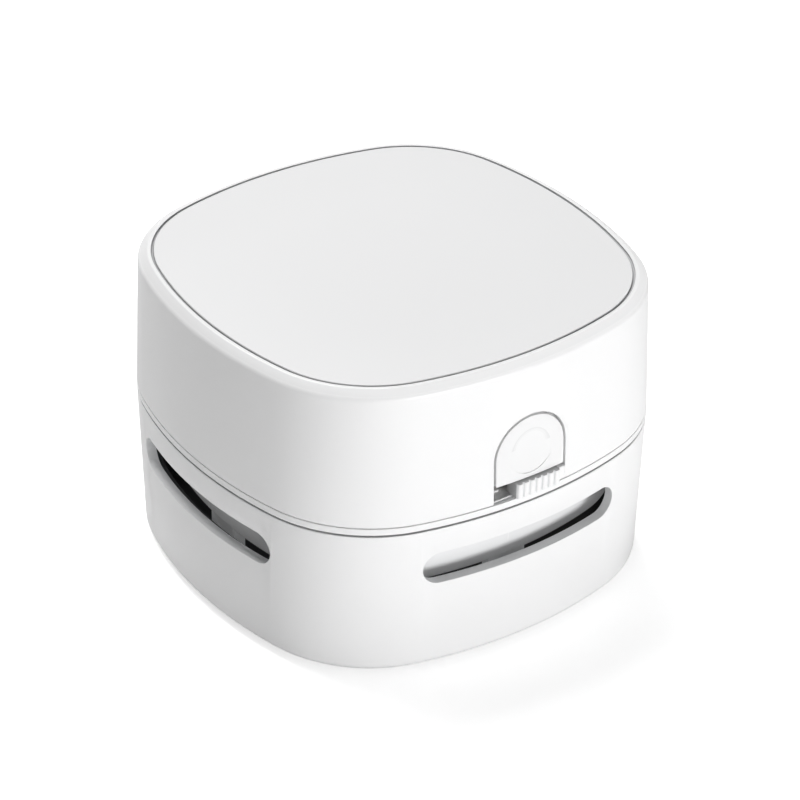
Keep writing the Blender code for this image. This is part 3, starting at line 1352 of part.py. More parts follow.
def rounded_route(corners):
    """Evenly spaced points along a smooth curve through the route's own points."""
    points = [corners[0]]
    padded = [corners[0], *corners, corners[-1]]
    for before, start, end, after in zip(padded, padded[1:], padded[2:], padded[3:]):
        length = math.dist(start, end)
        count = max(2, round(length / LEAD_STEP))
        for step in range(1, count + 1):
            t = step / count
            point = []
            for a, b, c, d in zip(before, start, end, after):
                bend = 2 * b + (c - a) * t + (2 * a - 5 * b + 4 * c - d) * t**2
                point.append((bend + (3 * b - a - 3 * c + d) * t**3) / 2)
            points.append(tuple(point))
    return points


def leads(red, black, parent):
    """The wires from the board to the motor, the battery and the switch."""
    gap = SEAT_GAP + LEAD_RADIUS
    cap_top = MOTOR_TOP + SEAT_GAP + CAP_HEIGHT
    board_face = BOARD_OFFSET - SEAT_GAP
    board_top = BOARD_BOTTOM + BOARD_HEIGHT
    for name, look, side in (("motor_lead_red", red, 1), ("motor_lead_black", black, -1)):
        terminal = side * (TERMINAL_OFFSET + TERMINAL_THICKNESS / 2 + gap)
        away = side * (MOTOR_RADIUS + gap)
        height = cap_top + gap
        route = [
            (terminal, 0, height),
            (side * MOTOR_RADIUS, MOTOR_RADIUS / 2, height),
            (away, MOTOR_RADIUS + LEAD_RADIUS, height - 2 * gap),
            (side * CHIP_OFFSET / 2, (MOTOR_RADIUS + board_face) / 2, board_top - 2 * gap),
            (side * CHIP_OFFSET / 2, board_face, board_top - 2 * gap),
        ]
        tube(name, rounded_route(route), LEAD_RADIUS, 1, look, parent)
    pack_top = PACK_BOTTOM + PACK_HEIGHT
    pack_end = PACK_HALF_LENGTH + SEAT_GAP
    middle = -(PACK_INNER + PACK_OUTER) / 2
    for name, look, place in (("battery_lead_red", red, 1), ("battery_lead_black", black, -1)):
        x = middle + place * 2 * gap
        drop = place * 2 * gap
        end_x = -BOARD_HALF_WIDTH + 2 * gap
        route = [
            (x, pack_end, pack_top - 4 * gap),
            (x + gap, pack_end + 4 * gap, pack_top - 4 * gap),
            (end_x - 8 * gap, board_face - 6 * gap, board_top - 5 * gap + drop),
            (end_x, board_face - 3 * gap, board_top - 5 * gap + drop),
            (end_x + gap, board_face, board_top - 5 * gap + drop),
        ]
        tube(name, rounded_route(route), LEAD_RADIUS, 1, look, parent)


def build():
    for old in list(bpy.data.objects):
        bpy.data.objects.remove(old, do_unlink=True)

    white = material("white plastic", (0.88, 0.88, 0.88), 0.35)
    panel_white = material("panel white", (0.82, 0.82, 0.83), 0.45)
    cup_grey = material("light grey plastic", (0.62, 0.63, 0.64), 0.25)
    black = material("black plastic", (0.012, 0.012, 0.013), 0.5)
    rubber = material("seal rubber", (0.09, 0.09, 0.10), 0.8)
    felt = material("foot rubber", (0.30, 0.30, 0.31), 0.85)
    bristle = material("nylon bristle", (0.03, 0.03, 0.03), 0.6)
    steel = material("steel", (0.62, 0.61, 0.60), 0.3, 1.0)
    media = material("filter paper", (0.80, 0.79, 0.75), 0.9)
    fan_grey = material("fan grey plastic", (0.35, 0.36, 0.37), 0.4)
    pack_blue = material("battery wrap", (0.05, 0.14, 0.35), 0.4)
    board_green = material("circuit board", (0.02, 0.16, 0.06), 0.4)
    light_clear = material("light pipe", (0.75, 0.80, 0.82), 0.15)
    lead_red = material("red lead", (0.55, 0.03, 0.02), 0.45)
    guide_grey = material("guide grey plastic", (0.30, 0.30, 0.31), 0.5)

    body = empty("body_frame", (0, BODY_SETBACK, 0))
    lower_half = empty("lower_half_frame", (0, 0, 0), body)
    filter_frame = empty("filter_lift_axis", (0, 0, FILTER_BOTTOM), body)
    upper_half = empty("upper_half_frame", (0, 0, DECK_BOTTOM), body)
    fan_axis = empty("fan_axis", (0, 0, IMPELLER_BOTTOM), body)
    slider_axis = empty("slider_axis", (SLIDER_OFFSET, -SLIDER_BACK, STEM_MIDDLE), body)
    button_axis = empty("button_axis", (0, -BODY_HALF, ARCH_CENTRE), body)

    lower_shell(white, lower_half)
    base_tray(black, lower_half)
    brush_strip("brush_strip_front", -1, bristle, lower_half)
    brush_strip("brush_strip_rear", 1, bristle, lower_half)
    dust_cup(cup_grey, lower_half)
    cup_seal(rubber, lower_half)
    feet_and_tray_screws(felt, steel, lower_half)
    filter_insert(cup_grey, media, filter_frame)
    chassis(white, upper_half)
    upper_shell(white, upper_half)
    top_panel(panel_white, upper_half)
    case_screws(steel, upper_half)
    fan_cover(fan_grey, upper_half)
    motor(steel, black, steel, upper_half)
    battery_pack(pack_blue, upper_half)
    control_board(board_green, steel, light_clear, upper_half)
    switch_and_guide(guide_grey, steel, upper_half)
    release_springs(steel, upper_half)
    leads(lead_red, black, upper_half)
    motor_rotor(steel, fan_axis)
    impeller(black, fan_axis)
    power_slider(white, slider_axis)
    release_button(white, button_axis)


build()
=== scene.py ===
"""Desktop mini vacuum cleaner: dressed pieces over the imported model, with its studio and its camera."""

import json
import math

import bmesh
import bpy
from mathutils import Matrix, Vector


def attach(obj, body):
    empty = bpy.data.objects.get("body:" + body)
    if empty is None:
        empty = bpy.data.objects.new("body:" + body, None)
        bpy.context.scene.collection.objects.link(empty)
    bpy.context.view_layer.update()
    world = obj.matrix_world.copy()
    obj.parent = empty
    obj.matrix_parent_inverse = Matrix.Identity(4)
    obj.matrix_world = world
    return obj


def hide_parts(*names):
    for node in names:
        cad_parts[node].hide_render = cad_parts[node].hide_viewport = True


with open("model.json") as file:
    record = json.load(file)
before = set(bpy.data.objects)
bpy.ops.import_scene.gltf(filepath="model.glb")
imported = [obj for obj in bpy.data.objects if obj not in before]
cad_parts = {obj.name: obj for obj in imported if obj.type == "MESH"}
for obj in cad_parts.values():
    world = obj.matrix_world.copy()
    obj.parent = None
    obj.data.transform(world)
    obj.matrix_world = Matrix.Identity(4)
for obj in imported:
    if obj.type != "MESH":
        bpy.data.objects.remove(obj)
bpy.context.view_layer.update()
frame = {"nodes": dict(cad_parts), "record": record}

# Outline of the body in plan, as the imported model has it
BODY_HALF = 0.0430
SIDE_RADIUS = 0.0850
CORNER_RADIUS = 0.0260
SIDE_CENTRE = SIDE_RADIUS - BODY_HALF
ARC_SPAN = SIDE_RADIUS - CORNER_RADIUS
CORNER_CENTRE = (math.sqrt(2 * ARC_SPAN**2 - SIDE_CENTRE**2) - SIDE_CENTRE) / 2
SIDE_HALF_ANGLE = math.atan2(CORNER_CENTRE, CORNER_CENTRE + SIDE_CENTRE)
CORNER_ANGLE = math.pi / 2 - 2 * SIDE_HALF_ANGLE
BODY_SETBACK = 0.00045
SIDE_STEPS = 28
CORNER_STEPS = 24
EASING_STEPS = 4

# Heights
SHELL_BOTTOM = 0.0008
LOWER_TOP = 0.03036
DECK_BOTTOM = 0.03076
DECK_TOP = 0.03206
UPPER_BOTTOM = 0.03226
INNER_FLOOR = 0.03236
WALL_TOP = 0.05775
TOP = 0.05901
TRAY_BOTTOM = 0.0035
TRAY_FLOOR_TOP = 0.0050
CUP_SUMP_BOTTOM = 0.010301
CUP_BOTTOM = 0.015601
CUP_LEDGE_TOP = 0.0230
CUP_RIM = 0.0268
SEAL_TOP = 0.0287
FILTER_BOTTOM = 0.0233
FILTER_TOP = 0.0278
LEDGE_BOTTOM = 0.05581
LEDGE_TOP = 0.05731
PANEL_BOTTOM = 0.05761
SLOT_LEVEL = 0.021995
SOCKET_LEVEL = 0.04706

# Walls
LOWER_WALL = 0.0019
LOWER_DRAFT = 0.00076
UPPER_WALL = 0.0018
UPPER_DRAFT = 0.00098
BOTTOM_FILLET = 0.00185
RIM_FLAT = 0.00064
FLANGE_REACH = 0.0090
FLANGE_THICKNESS = 0.0024
PANEL_INSET = 0.00339
PANEL_GROOVE = 0.0005
GROOVE_DEPTH = 0.00045
CUP_INSET = 0.0060
CUP_WALL = 0.0014
CUP_FILLET = 0.0008
THIN_WALL = 0.0012

# How far in from the outline the flat middles begin, and how far out the fan's intake reaches
PLAN_CORE = 0.0220
INTAKE_REACH = 0.0125

# Air between seated pieces, the depth at which an addition is rooted, and what a tool stands proud
SEAT_GAP = 0.0003
ROOT = 0.0004
TOOL_REACH = 0.002

# Openings
SLOT_HALF_LENGTH = 0.020898
SLOT_HALF_HEIGHT = 0.0033
ARCH_HALF_WIDTH = 0.0078
ARCH_CENTRE = 0.0405
SCREW_BORE = 0.0013

# Button
BUTTON_HALF_WIDTH = 0.0073
BUTTON_BOTTOM = 0.0357
SPRING_LEVEL = 0.0436
PIN_PLACE = 0.0048
DIMPLE_LEVEL = 0.0414
DIMPLE_RADIUS = 0.0043
DIMPLE_DEPTH = 0.0003
CATCH_PLACE = 0.0109
CATCH_HALF_WIDTH = 0.0018

# Slider
SLIDER_OFFSET = 0.00125
SLIDER_HALF_WIDTH = 0.0047
SLIDER_BOTTOM = 0.03236
SLIDER_TOP = 0.03536
SLIDER_BACK = -0.04060
SLIDER_FRONT = -0.04384
SLIDER_RIBS = 7
RIB_DEPTH = 0.00045
RIB_SHAPE = (
    (0.0, 0.0), (0.06, 0.10), (0.14, 0.70), (0.26, 0.96), (0.40, 1.0),
    (0.60, 1.0), (0.74, 0.96), (0.86, 0.70), (0.94, 0.10),
)

# Fan and motor
IMPELLER_BOTTOM = 0.03326
IMPELLER_RADIUS = 0.0195
BLADE_COUNT = 9
BLADE_ROOT = 0.0038
BLADE_SWEEP = math.radians(48)
MOTOR_BOTTOM = 0.04246
MOTOR_RADIUS = 0.012192
MOTOR_HEIGHT = 0.0121
MOTOR_SCREW_PLACE = 0.0080
TERMINAL_PLACE = 0.0070

# Board, socket, light and cell
BOARD_FACE = 0.0330
BOARD_HALF_WIDTH = 0.0135
SOCKET_BACK = 0.0345
SOCKET_FRONT = 0.04203
LIGHT_FRONT = 0.0415
LIGHT_PLACE = 0.00947
CELL_END = 0.016985

# Brushes
BRUSH_PLACE = 0.0100
BRUSH_HALF_LENGTH = 0.018
TUFTS_IN_ROW = 9
TUFT_ROW_PLACE = 0.0009
TUFT_MIDDLE = 0.0027
TUFT_RADIUS = 0.00072
BRISTLES_IN_TUFT = 11

# Places of the feet and the screws, from the axis
FOOT_PLACE = 0.02906
TRAY_SCREW_PLACE = 0.0368
POST_PLACE = 0.03064

# Studio: each lamp's name, place, size and power
AMBIENT = 0.10
RIGHT_FALL = 0.6
FLOOR_LIFT = 0.56
LAMP_AIM = (0, 0, 0.03)
LAMPS = (
    ("front_softbox", (-0.1162, -1.3283, 0.2412), (0.9, 0.36), 6.4),
    ("front_right_softbox", (0.2315, -1.3131, 0.2412), (0.9, 0.36), 7.1),
    ("top_softbox", (0.0, 0.7, 1.3), (0.8, 0.8), 20.0),
)

# Camera
CAMERA_ANGLES = (35.389, 32.336, 0.792)
CAMERA_DISTANCE = 0.58687
CAMERA_SHIFT = 0.0017926
AIM_HEIGHT = 0.028817
FOCAL_LENGTH = 142.8

QUARTER_TURN = math.pi / 2
FULL_TURN = 2 * math.pi


# Shader nodes


class Signal:
    """A value that comes out of a shader node; sums and products on it add their own nodes."""

    def __init__(self, tree, socket):
        self.tree = tree
        self.socket = socket

    def calculate(self, operation, *values):
        node = self.tree.nodes.new("ShaderNodeMath")
        node.operation = operation
        for target, value in zip(node.inputs, values):
            feed(self.tree, target, value)
        return Signal(self.tree, node.outputs[0])

    def __add__(self, other):
        return self.calculate("ADD", self, other)

    def __radd__(self, other):
        return self.calculate("ADD", other, self)

    def __rsub__(self, other):
        return self.calculate("SUBTRACT", other, self)

    def __mul__(self, other):
        return self.calculate("MULTIPLY", self, other)

    def __truediv__(self, other):
        return self.calculate("DIVIDE", self, other)

    def over(self, other):
        return self.calculate("GREATER_THAN", self, other)

    def wave(self):
        return self.calculate("SINE", self)


def feed(tree, target, value):
    """Links a signal to a socket, or writes a plain value in it."""
    if isinstance(value, Signal):
        tree.links.new(value.socket, target)
    elif isinstance(value, (tuple, list)) and len(value) == 3 and target.type == "RGBA":
        target.default_value = (*value, 1.0)
    else:
        target.default_value = value


class Finish:
    """A material of one principled shader whose detail reads the piece's own coordinates."""

    def __init__(self, name, **constants):
        self.material = bpy.data.materials.new(name)
        self.material.use_nodes = True
        self.tree = self.material.node_tree
        self.shader = self.tree.nodes["Principled BSDF"]
        for socket, value in constants.items():
            self.set(socket.replace("_", " "), value)
        self.place = self.node("ShaderNodeTexCoord", {}, {}, "Object")

    def node(self, kind, settings, sockets, output=0):
        node = self.tree.nodes.new(kind)
        for setting, value in settings.items():
            setattr(node, setting, value)
        for socket, value in sockets.items():
            feed(self.tree, node.inputs[socket], value)
        return Signal(self.tree, node.outputs[output])

    def noise(self, scale, detail=2.0, roughness=0.5, place=None):
        sockets = {"Vector": place or self.place, "Scale": scale, "Detail": detail, "Roughness": roughness}
        return self.node("ShaderNodeTexNoise", {}, sockets, "Fac")

    def drawn_noise(self, stretch, detail, roughness=0.5):
        """Noise that is drawn out by a scale of its own along each axis."""
        place = self.node("ShaderNodeMapping", {}, {"Vector": self.place, "Scale": stretch}, "Vector")
        return self.noise(1, detail, roughness, place)

    def cells(self, scale, randomness=1.0, feature="F1"):
        sockets = {"Vector": self.place, "Scale": scale, "Randomness": randomness}
        return self.node("ShaderNodeTexVoronoi", {"feature": feature}, sockets, "Distance")

    def ramp(self, signal, *stops):
        """A signal spread over stops, each a position and a grey."""
        ramped = self.node("ShaderNodeValToRGB", {}, {"Fac": signal}, "Color")
        elements = ramped.socket.node.color_ramp.elements
        while len(elements) < len(stops):
            elements.new(1.0)
        for element, (position, grey) in zip(elements, stops):
            element.position = position
            element.color = (grey, grey, grey, 1.0)
        return ramped

    def axis(self, name):
        return self.node("ShaderNodeSeparateXYZ", {}, {"Vector": self.place}, name)

    def mix(self, factor, first, second):
        return self.node("ShaderNodeMix", {"data_type": "RGBA"}, {0: factor, 6: first, 7: second}, 2)

    def set(self, socket, value):
        feed(self.tree, self.shader.inputs[socket], value)

    def complete(self, colours, roughness, relief, depth):
        """Sets what every finish has: a mix of two colours, a roughness and a fine relief."""
        self.set("Base Color", self.mix(*colours))
        self.set("Roughness", roughness)
        sockets = {"Height": relief, "Distance": depth, "Strength": 1.0}
        self.set("Normal", self.node("ShaderNodeBump", {}, sockets, "Normal"))
        return self.material


def tones(signal, colour, darker, lighter):
    """A signal and the two tones of a colour that it runs between."""
    low, high = (tuple(min(1.0, part * (1 + amount)) for part in colour) for amount in (-darker, lighter))
    return signal, low, high


# Finishes of the object


def moulded_plastic(name, colour, roughness, grain, spread, coat=0.0):
    """Injection-moulded plastic: a spark-eroded grain, slow flow marks and a slightly uneven sheen."""
    finish = Finish(name + "_moulded_plastic", Coat_Weight=coat, Coat_Roughness=0.12, IOR=1.46)
    flow, patch, fine = finish.noise(55, 3), finish.noise(420, 2), finish.noise(5200, 2, 0.6)
    colours = tones(flow * 0.7 + patch * 0.3, colour, spread, spread)
    sheen = roughness - 0.05 + flow * 0.06 + fine * 0.05
    return finish.complete(colours, sheen, fine * 0.8 + patch * 0.2, grain)


def satin_panel_plastic():
    """The lid: finer and flatter than the shells, with an even satin sheen."""
    finish = Finish("satin_panel_plastic", IOR=1.46)
    flow, sand = finish.noise(30, 2), finish.noise(7800, 3, 0.65)
    colours = tones(flow, (0.81, 0.81, 0.813), 0.012, 0.01)
    return finish.complete(colours, 0.42 + sand * 0.08, sand, 0.000006)


def painted_recess_shade_plastic():
    """Painted shade: a grey for the faces of a moulded wall's thickness inside its openings, and for other
    recesses, standing in for the shade that falls there.
    """
    finish = Finish("painted_recess_shade_plastic", IOR=1.46)
    drag = finish.drawn_noise((500, 500, 3200), 3)
    colours = tones(drag, (0.75, 0.755, 0.76), 0.05, 0.05)
    return finish.complete(colours, 0.48 + drag * 0.12, drag, 0.000010)


def polished_cup_plastic():
    """The dust cup: a hard gloss with drag marks, and a faint painted glow, as it emits a little light though
    it is no lamp.
    """
    finish = Finish("polished_cup_plastic", Coat_Weight=0.5, Coat_Roughness=0.08, IOR=1.5)
    flow, drag = finish.noise(40, 3), finish.drawn_noise((700, 700, 90), 2)
    # Painted light: a faint emission that lifts the cup where it lies in shade inside the slots
    finish.set("Emission Color", finish.mix(flow, (0.96, 0.98, 1.0), (1.0, 1.0, 1.0)))
    finish.set("Emission Strength", 0.10)
    colours = tones(flow, (0.84, 0.845, 0.85), 0.03, 0.03)
    return finish.complete(colours, 0.20 + drag * 0.10, drag * 0.6 + finish.noise(6400, 1) * 0.4, 0.000005)


def black_tray_plastic():
    """Black moulding with a coarse eroded grain and a trace of grey dust in it."""
    finish = Finish("black_tray_plastic", IOR=1.46)
    dust = finish.noise(160, 4, 0.6)
    settled = finish.ramp(dust, (0.45, 0.0), (0.85, 0.55))
    colours = (settled, (0.010, 0.010, 0.011), (0.035, 0.034, 0.033))
    return finish.complete(colours, 0.46 + dust * 0.16, finish.cells(3600), 0.000016)


def soft_rubber(name, colour):
    """Rubber with a powdery bloom and small pits."""
    finish = Finish(name, IOR=1.5)
    bloom, pits = finish.noise(600, 4, 0.6), finish.cells(4200)
    relief = pits * 0.6 + bloom * 0.4
    return finish.complete(tones(bloom, colour, 0.2, 0.3), 0.70 + bloom * 0.2, relief, 0.000018)


def nylon_bristle():
    """Bristles: dark nylon with lengthwise streaks and paler tips."""
    finish = Finish("nylon_bristle", IOR=1.53)
    streak = finish.drawn_noise((9000, 9000, 300), 2)
    tip = finish.ramp((0.0030 - finish.axis("Z")) / 0.0030, (0.0, 0.0), (1.0, 1.0))
    dark = finish.mix(streak, (0.018, 0.018, 0.019), (0.05, 0.05, 0.05))
    return finish.complete((tip * 0.5, dark, (0.10, 0.10, 0.10)), 0.42 + streak * 0.16, streak, 0.00001)


def plated_steel():
    """Nickel-plated steel with fine turning marks and a few duller spots."""
    finish = Finish("plated_steel", Metallic=1.0)
    marks = finish.drawn_noise((400, 400, 6000), 3, 0.6)
    spots = finish.ramp(finish.noise(900, 3, 0.7), (0.52, 0.0), (0.72, 1.0))
    colours = tones(spots * 0.5, (0.66, 0.65, 0.63), 0, -0.25)
    return finish.complete(colours, 0.26 + marks * 0.10 + spots * 0.14, marks, 0.000006)


def pleated_paper():
    """Filter fleece: matted fibres over an off-white ground."""
    finish = Finish("pleated_paper", Sheen_Weight=0.25, Sheen_Roughness=0.5)
    fibre, cross = (finish.drawn_noise(way, 5, 0.7) for way in ((2600, 900, 1800), (900, 2600, 1800)))
    mat = fibre * 0.5 + cross * 0.5
    colours = (finish.ramp(mat, (0.3, 0.0), (0.7, 1.0)), (0.60, 0.59, 0.55), (0.86, 0.85, 0.81))
    return finish.complete(colours, 0.85 + mat * 0.12, mat, 0.00006)


def shrink_wrap():
    """Blue heat-shrunk film: a tight gloss with crow's-feet drawn across the ends."""
    finish = Finish("shrink_wrap", Coat_Weight=0.6, Coat_Roughness=0.12, IOR=1.5)
    crease = finish.drawn_noise((240, 60, 700), 3, 0.6)
    colours = (finish.noise(80, 2), (0.036, 0.11, 0.30), (0.06, 0.17, 0.42))
    return finish.complete(colours, 0.24 + crease * 0.2, crease, 0.00005)


def solder_mask():
    """A green board: woven glass under the mask, and paler tracks over it."""
    finish = Finish("solder_mask", Coat_Weight=0.4, Coat_Roughness=0.15)
    across, up = ((finish.axis(name) * 6200).wave() for name in "XZ")
    weave = across * up * 0.5 + 0.5
    line = finish.ramp(finish.cells(620, 0.2, "DISTANCE_TO_EDGE"), (0.0, 1.0), (0.10, 1.0), (0.13, 0.0))
    ground = finish.mix(weave, (0.010, 0.10, 0.035), (0.018, 0.15, 0.055))
    colours = (line * 0.6, ground, (0.05, 0.30, 0.10))
    return finish.complete(colours, 0.30 + weave * 0.12, weave * 0.4 + line * 0.6, 0.00002)


def frosted_light_pipe():
    """Clear acrylic with a frosted end, cloudy towards its rim."""
    finish = Finish("frosted_light_pipe", IOR=1.49, Transmission_Weight=0.55)
    cloud = finish.noise(1800, 3, 0.6)
    colours = (cloud, (0.70, 0.76, 0.79), (0.88, 0.92, 0.93))
    return finish.complete(colours, 0.22 + cloud * 0.25, cloud, 0.00001)


def wire_sleeve(name, colour):
    """Silicone insulation, slightly uneven along its length."""
    finish = Finish(name, IOR=1.43, Coat_Weight=0.2, Coat_Roughness=0.3)
    wander, talc = finish.noise(700, 3), finish.noise(3200, 3, 0.7)
    return finish.complete(tones(wander, colour, 0.15, 0.2), 0.36 + talc * 0.2, talc, 0.000012)


FINISHES = {
    "white_plastic": moulded_plastic("white", (0.88, 0.88, 0.882), 0.36, 0.000009, 0.012, 0.15),
    "panel_plastic": satin_panel_plastic(),
    "grey_plastic": polished_cup_plastic(),
    # Painted shade: the guide's grey stands for the shade in the recess behind the knob
    "guide_plastic": moulded_plastic("guide", (0.30, 0.30, 0.31), 0.50, 0.000012, 0.04),
    "black_plastic": black_tray_plastic(),
    "fan_plastic": moulded_plastic("fan", (0.35, 0.36, 0.37), 0.42, 0.000012, 0.05),
    "bristle": nylon_bristle(),
    "rubber": soft_rubber("seal_rubber", (0.09, 0.09, 0.10)),
    "foot_rubber": soft_rubber("foot_rubber_grey", (0.30, 0.30, 0.31)),
    "steel": plated_steel(),
    "filter_paper": pleated_paper(),
    "battery_wrap": shrink_wrap(),
    "circuit_board": solder_mask(),
    "light_pipe": frosted_light_pipe(),
    "red_lead": wire_sleeve("red_wire_sleeve", (0.55, 0.03, 0.02)),
    "black_lead": wire_sleeve("black_wire_sleeve", (0.02, 0.02, 0.02)),
    # Painted shade for the faces inside openings and recesses
    "painted_recess_shade": painted_recess_shade_plastic(),
    # Painted shade for the knob's top, sides and back
    "shaded": moulded_plastic("shaded", (0.50, 0.50, 0.505), 0.55, 0.000010, 0.05),
    # Painted shade for the gap between the two halves
    "seam": moulded_plastic("seam", (0.42, 0.42, 0.43), 0.60, 0.000010, 0.06),
    # Painted shade for the groove round the lid
    "groove": moulded_plastic("groove", (0.43, 0.43, 0.44), 0.50, 0.000010, 0.05),
    # Painted shade for the sloping rim, a little darker than the white
    "rim": moulded_plastic("rim", (0.84, 0.84, 0.842), 0.34, 0.000008, 0.012, 0.15),
    # Painted shade for the finger dish's upper wall, in two steps
    "dish": moulded_plastic("dish", (0.77, 0.77, 0.772), 0.34, 0.000008, 0.010, 0.15),
    "dish_slope": moulded_plastic("dish_slope", (0.81, 0.81, 0.812), 0.34, 0.000008, 0.010, 0.15),
    "button": moulded_plastic("button", (0.845, 0.845, 0.847), 0.34, 0.000008, 0.012, 0.15),
}


def dress_packed_nodes():
    """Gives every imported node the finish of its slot; the pieces below replace the ones that show most."""
    for row in frame["record"]["subparts"]:
        coloured(frame["nodes"][row["node"]], row["material_slot"])


# Modelling


def draft_at(height):
    """How far the outer walls have drawn in from the seam's outline at a height."""
    if height < LOWER_TOP:
        return LOWER_DRAFT * (LOWER_TOP - height) / (LOWER_TOP - SHELL_BOTTOM)
    return UPPER_DRAFT * max(0, height - UPPER_BOTTOM) / (WALL_TOP - UPPER_BOTTOM)


def inset_at(place):
    """How far in from the outline a place lies, in plan."""
    near, far = sorted((abs(place.x), abs(place.y - BODY_SETBACK)))
    if math.atan2(near, far + SIDE_CENTRE) < SIDE_HALF_ANGLE:
        return SIDE_RADIUS - math.hypot(far + SIDE_CENTRE, near)
    return CORNER_RADIUS - math.hypot(far - CORNER_CENTRE, near - CORNER_CENTRE)


def eased(corners, closed=True):
    """A profile whose corners are rounded: each corner is its place, then its rounding."""
    points = []
    count = len(corners)
    for index, (across, up, size) in enumerate(corners):
        ends = not closed and index in (0, count - 1)
        if not size or ends:
            points.append((across, up))
            continue
        corner = Vector((across, up))
        start = corner + (Vector(corners[index - 1][:2]) - corner).normalized() * size
        end = corner + (Vector(corners[(index + 1) % count][:2]) - corner).normalized() * size
        for step in range(EASING_STEPS + 1):
            share = step / EASING_STEPS
            point = start * (1 - share) ** 2 + corner * 2 * share * (1 - share) + end * share**2
            points.append(tuple(point))
    return points


def quarter(centre, radius, start, end, steps=8):
    """Points on an arc in the plane of a profile."""
    turns = [start + (end - start) * step / steps for step in range(steps + 1)]
    return [(centre[0] + radius * math.cos(turn), centre[1] + radius * math.sin(turn)) for turn in turns]


def pick(*pieces):
    """Selects these pieces alone and makes the first of them the active one."""
    bpy.ops.object.select_all(action="DESELECT")
    for piece in pieces:
        piece.select_set(True)
    if pieces:
        bpy.context.view_layer.objects.active = pieces[0]


def added(name):
    """The primitive just added, named, with its place and its size put into its mesh."""
    piece = bpy.context.active_object
    piece.name = name
    piece.data.name = name
    bpy.ops.object.transform_apply(location=True, rotation=True, scale=True)
    return piece


def open_for_shaping(piece):
    pick(piece)
    bpy.ops.object.mode_set(mode="EDIT")
    bpy.ops.mesh.select_all(action="SELECT")


def drawn_line(name, points):
    """A chain of edges through the points, left open for shaping with its vertices selected."""
    pick()
    bpy.ops.mesh.primitive_plane_add(size=BODY_HALF, location=points[0])
    piece = added(name)
    open_for_shaping(piece)
    bpy.ops.mesh.merge(type="CENTER")
    for start, end in zip(points, points[1:]):
        travel = [after - before for before, after in zip(start, end)]
        bpy.ops.mesh.extrude_region_move(TRANSFORM_OT_translate={"value": travel})
    return piece


def close_line(piece):
    """Joins the two free ends of a drawn line."""
    shape = bmesh.from_edit_mesh(piece.data)
    bpy.ops.mesh.select_all(action="DESELECT")
    for vertex in shape.verts:
        vertex.select_set(len(vertex.link_edges) == 1)
    shape.select_flush_mode()
    bpy.ops.mesh.edge_face_add()
    bpy.ops.mesh.select_all(action="SELECT")


def settle(piece):
    """Welds what meets, turns the faces outwards and goes back to the object."""
    bpy.ops.mesh.select_all(action="SELECT")
    bpy.ops.mesh.remove_doubles(threshold=0.000001)
    bpy.ops.mesh.normals_make_consistent(inside=False)
    bpy.ops.object.mode_set(mode="OBJECT")
    pick()
    return piece


def swept_round(name, profile, closed=True):
    """A profile of inset and height carried round the body's outline, arc by arc."""
    piece = drawn_line(name, [(BODY_HALF - inset, BODY_SETBACK, height) for inset, height in profile])
    if closed:
        close_line(piece)
    bpy.ops.mesh.select_all(action="SELECT")
    side, corner = SIDE_CENTRE, CORNER_CENTRE
    arcs = [
        ((-side, 0), SIDE_HALF_ANGLE, SIDE_STEPS // 2),
        ((corner, -corner), CORNER_ANGLE, CORNER_STEPS),
        ((0, side), 2 * SIDE_HALF_ANGLE, SIDE_STEPS),
        ((-corner, -corner), CORNER_ANGLE, CORNER_STEPS),
        ((side, 0), 2 * SIDE_HALF_ANGLE, SIDE_STEPS),
        ((-corner, corner), CORNER_ANGLE, CORNER_STEPS),
        ((0, -side), 2 * SIDE_HALF_ANGLE, SIDE_STEPS),
        ((corner, corner), CORNER_ANGLE, CORNER_STEPS),
        ((-side, 0), SIDE_HALF_ANGLE, SIDE_STEPS // 2),
    ]
    for (x, y), angle, steps in arcs:
        bpy.ops.mesh.spin(steps=steps, angle=angle, center=(x, y + BODY_SETBACK, 0), axis=(0, 0, 1))
    bpy.ops.mesh.select_all(action="SELECT")
    bpy.ops.mesh.remove_doubles(threshold=0.000002)
    if not closed:
        bpy.ops.mesh.fill_holes(sides=0)
    return settle(piece)


def drawn_out(name, outline, travel):
    """A closed outline filled and drawn out along a direction."""
    piece = drawn_line(name, outline)
    close_line(piece)
    bpy.ops.mesh.edge_face_add()
    bpy.ops.mesh.extrude_region_move(TRANSFORM_OT_translate={"value": travel})
    return settle(piece)


def turned(name, profile, centre, steps=32, axis="Z"):
    """A profile of radius and height turned once round an axis through the centre."""
    x, y, z = centre
    if axis == "Z":
        points, direction = [(x + radius, y, z + along) for radius, along in profile], (0, 0, 1)
    else:
        points, direction = [(x + radius, y + along, z) for radius, along in profile], (0, 1, 0)
    piece = drawn_line(name, points)
    bpy.ops.mesh.select_all(action="SELECT")
    bpy.ops.mesh.spin(steps=steps, angle=FULL_TURN, center=centre, axis=direction)
    return settle(piece)


def brick(name, low, high, soft=0.0, segments=3):
    """A block between two corners, with its edges rounded over."""
    size = [top - bottom for bottom, top in zip(low, high)]
    middle = [(top + bottom) / 2 for bottom, top in zip(low, high)]
    pick()
    bpy.ops.mesh.primitive_cube_add(size=1, location=middle, scale=size)
    piece = added(name)
    if soft:
        open_for_shaping(piece)
        bpy.ops.mesh.bevel(offset=soft, segments=segments, affect="EDGES")
        settle(piece)
    return piece


def block(name, low, high, soft=0.0, segments=3):
    """A brick whose corners are given in the body's own frame."""
    return brick(name, plan(*low), plan(*high), soft, segments)


def apply_modifier(piece, kind, **settings):
    pick(piece)
    modifier = piece.modifiers.new(kind.lower(), kind)
    for setting, value in settings.items():
        setattr(modifier, setting, value)
    bpy.ops.object.modifier_apply(modifier=modifier.name)
    piece.select_set(False)


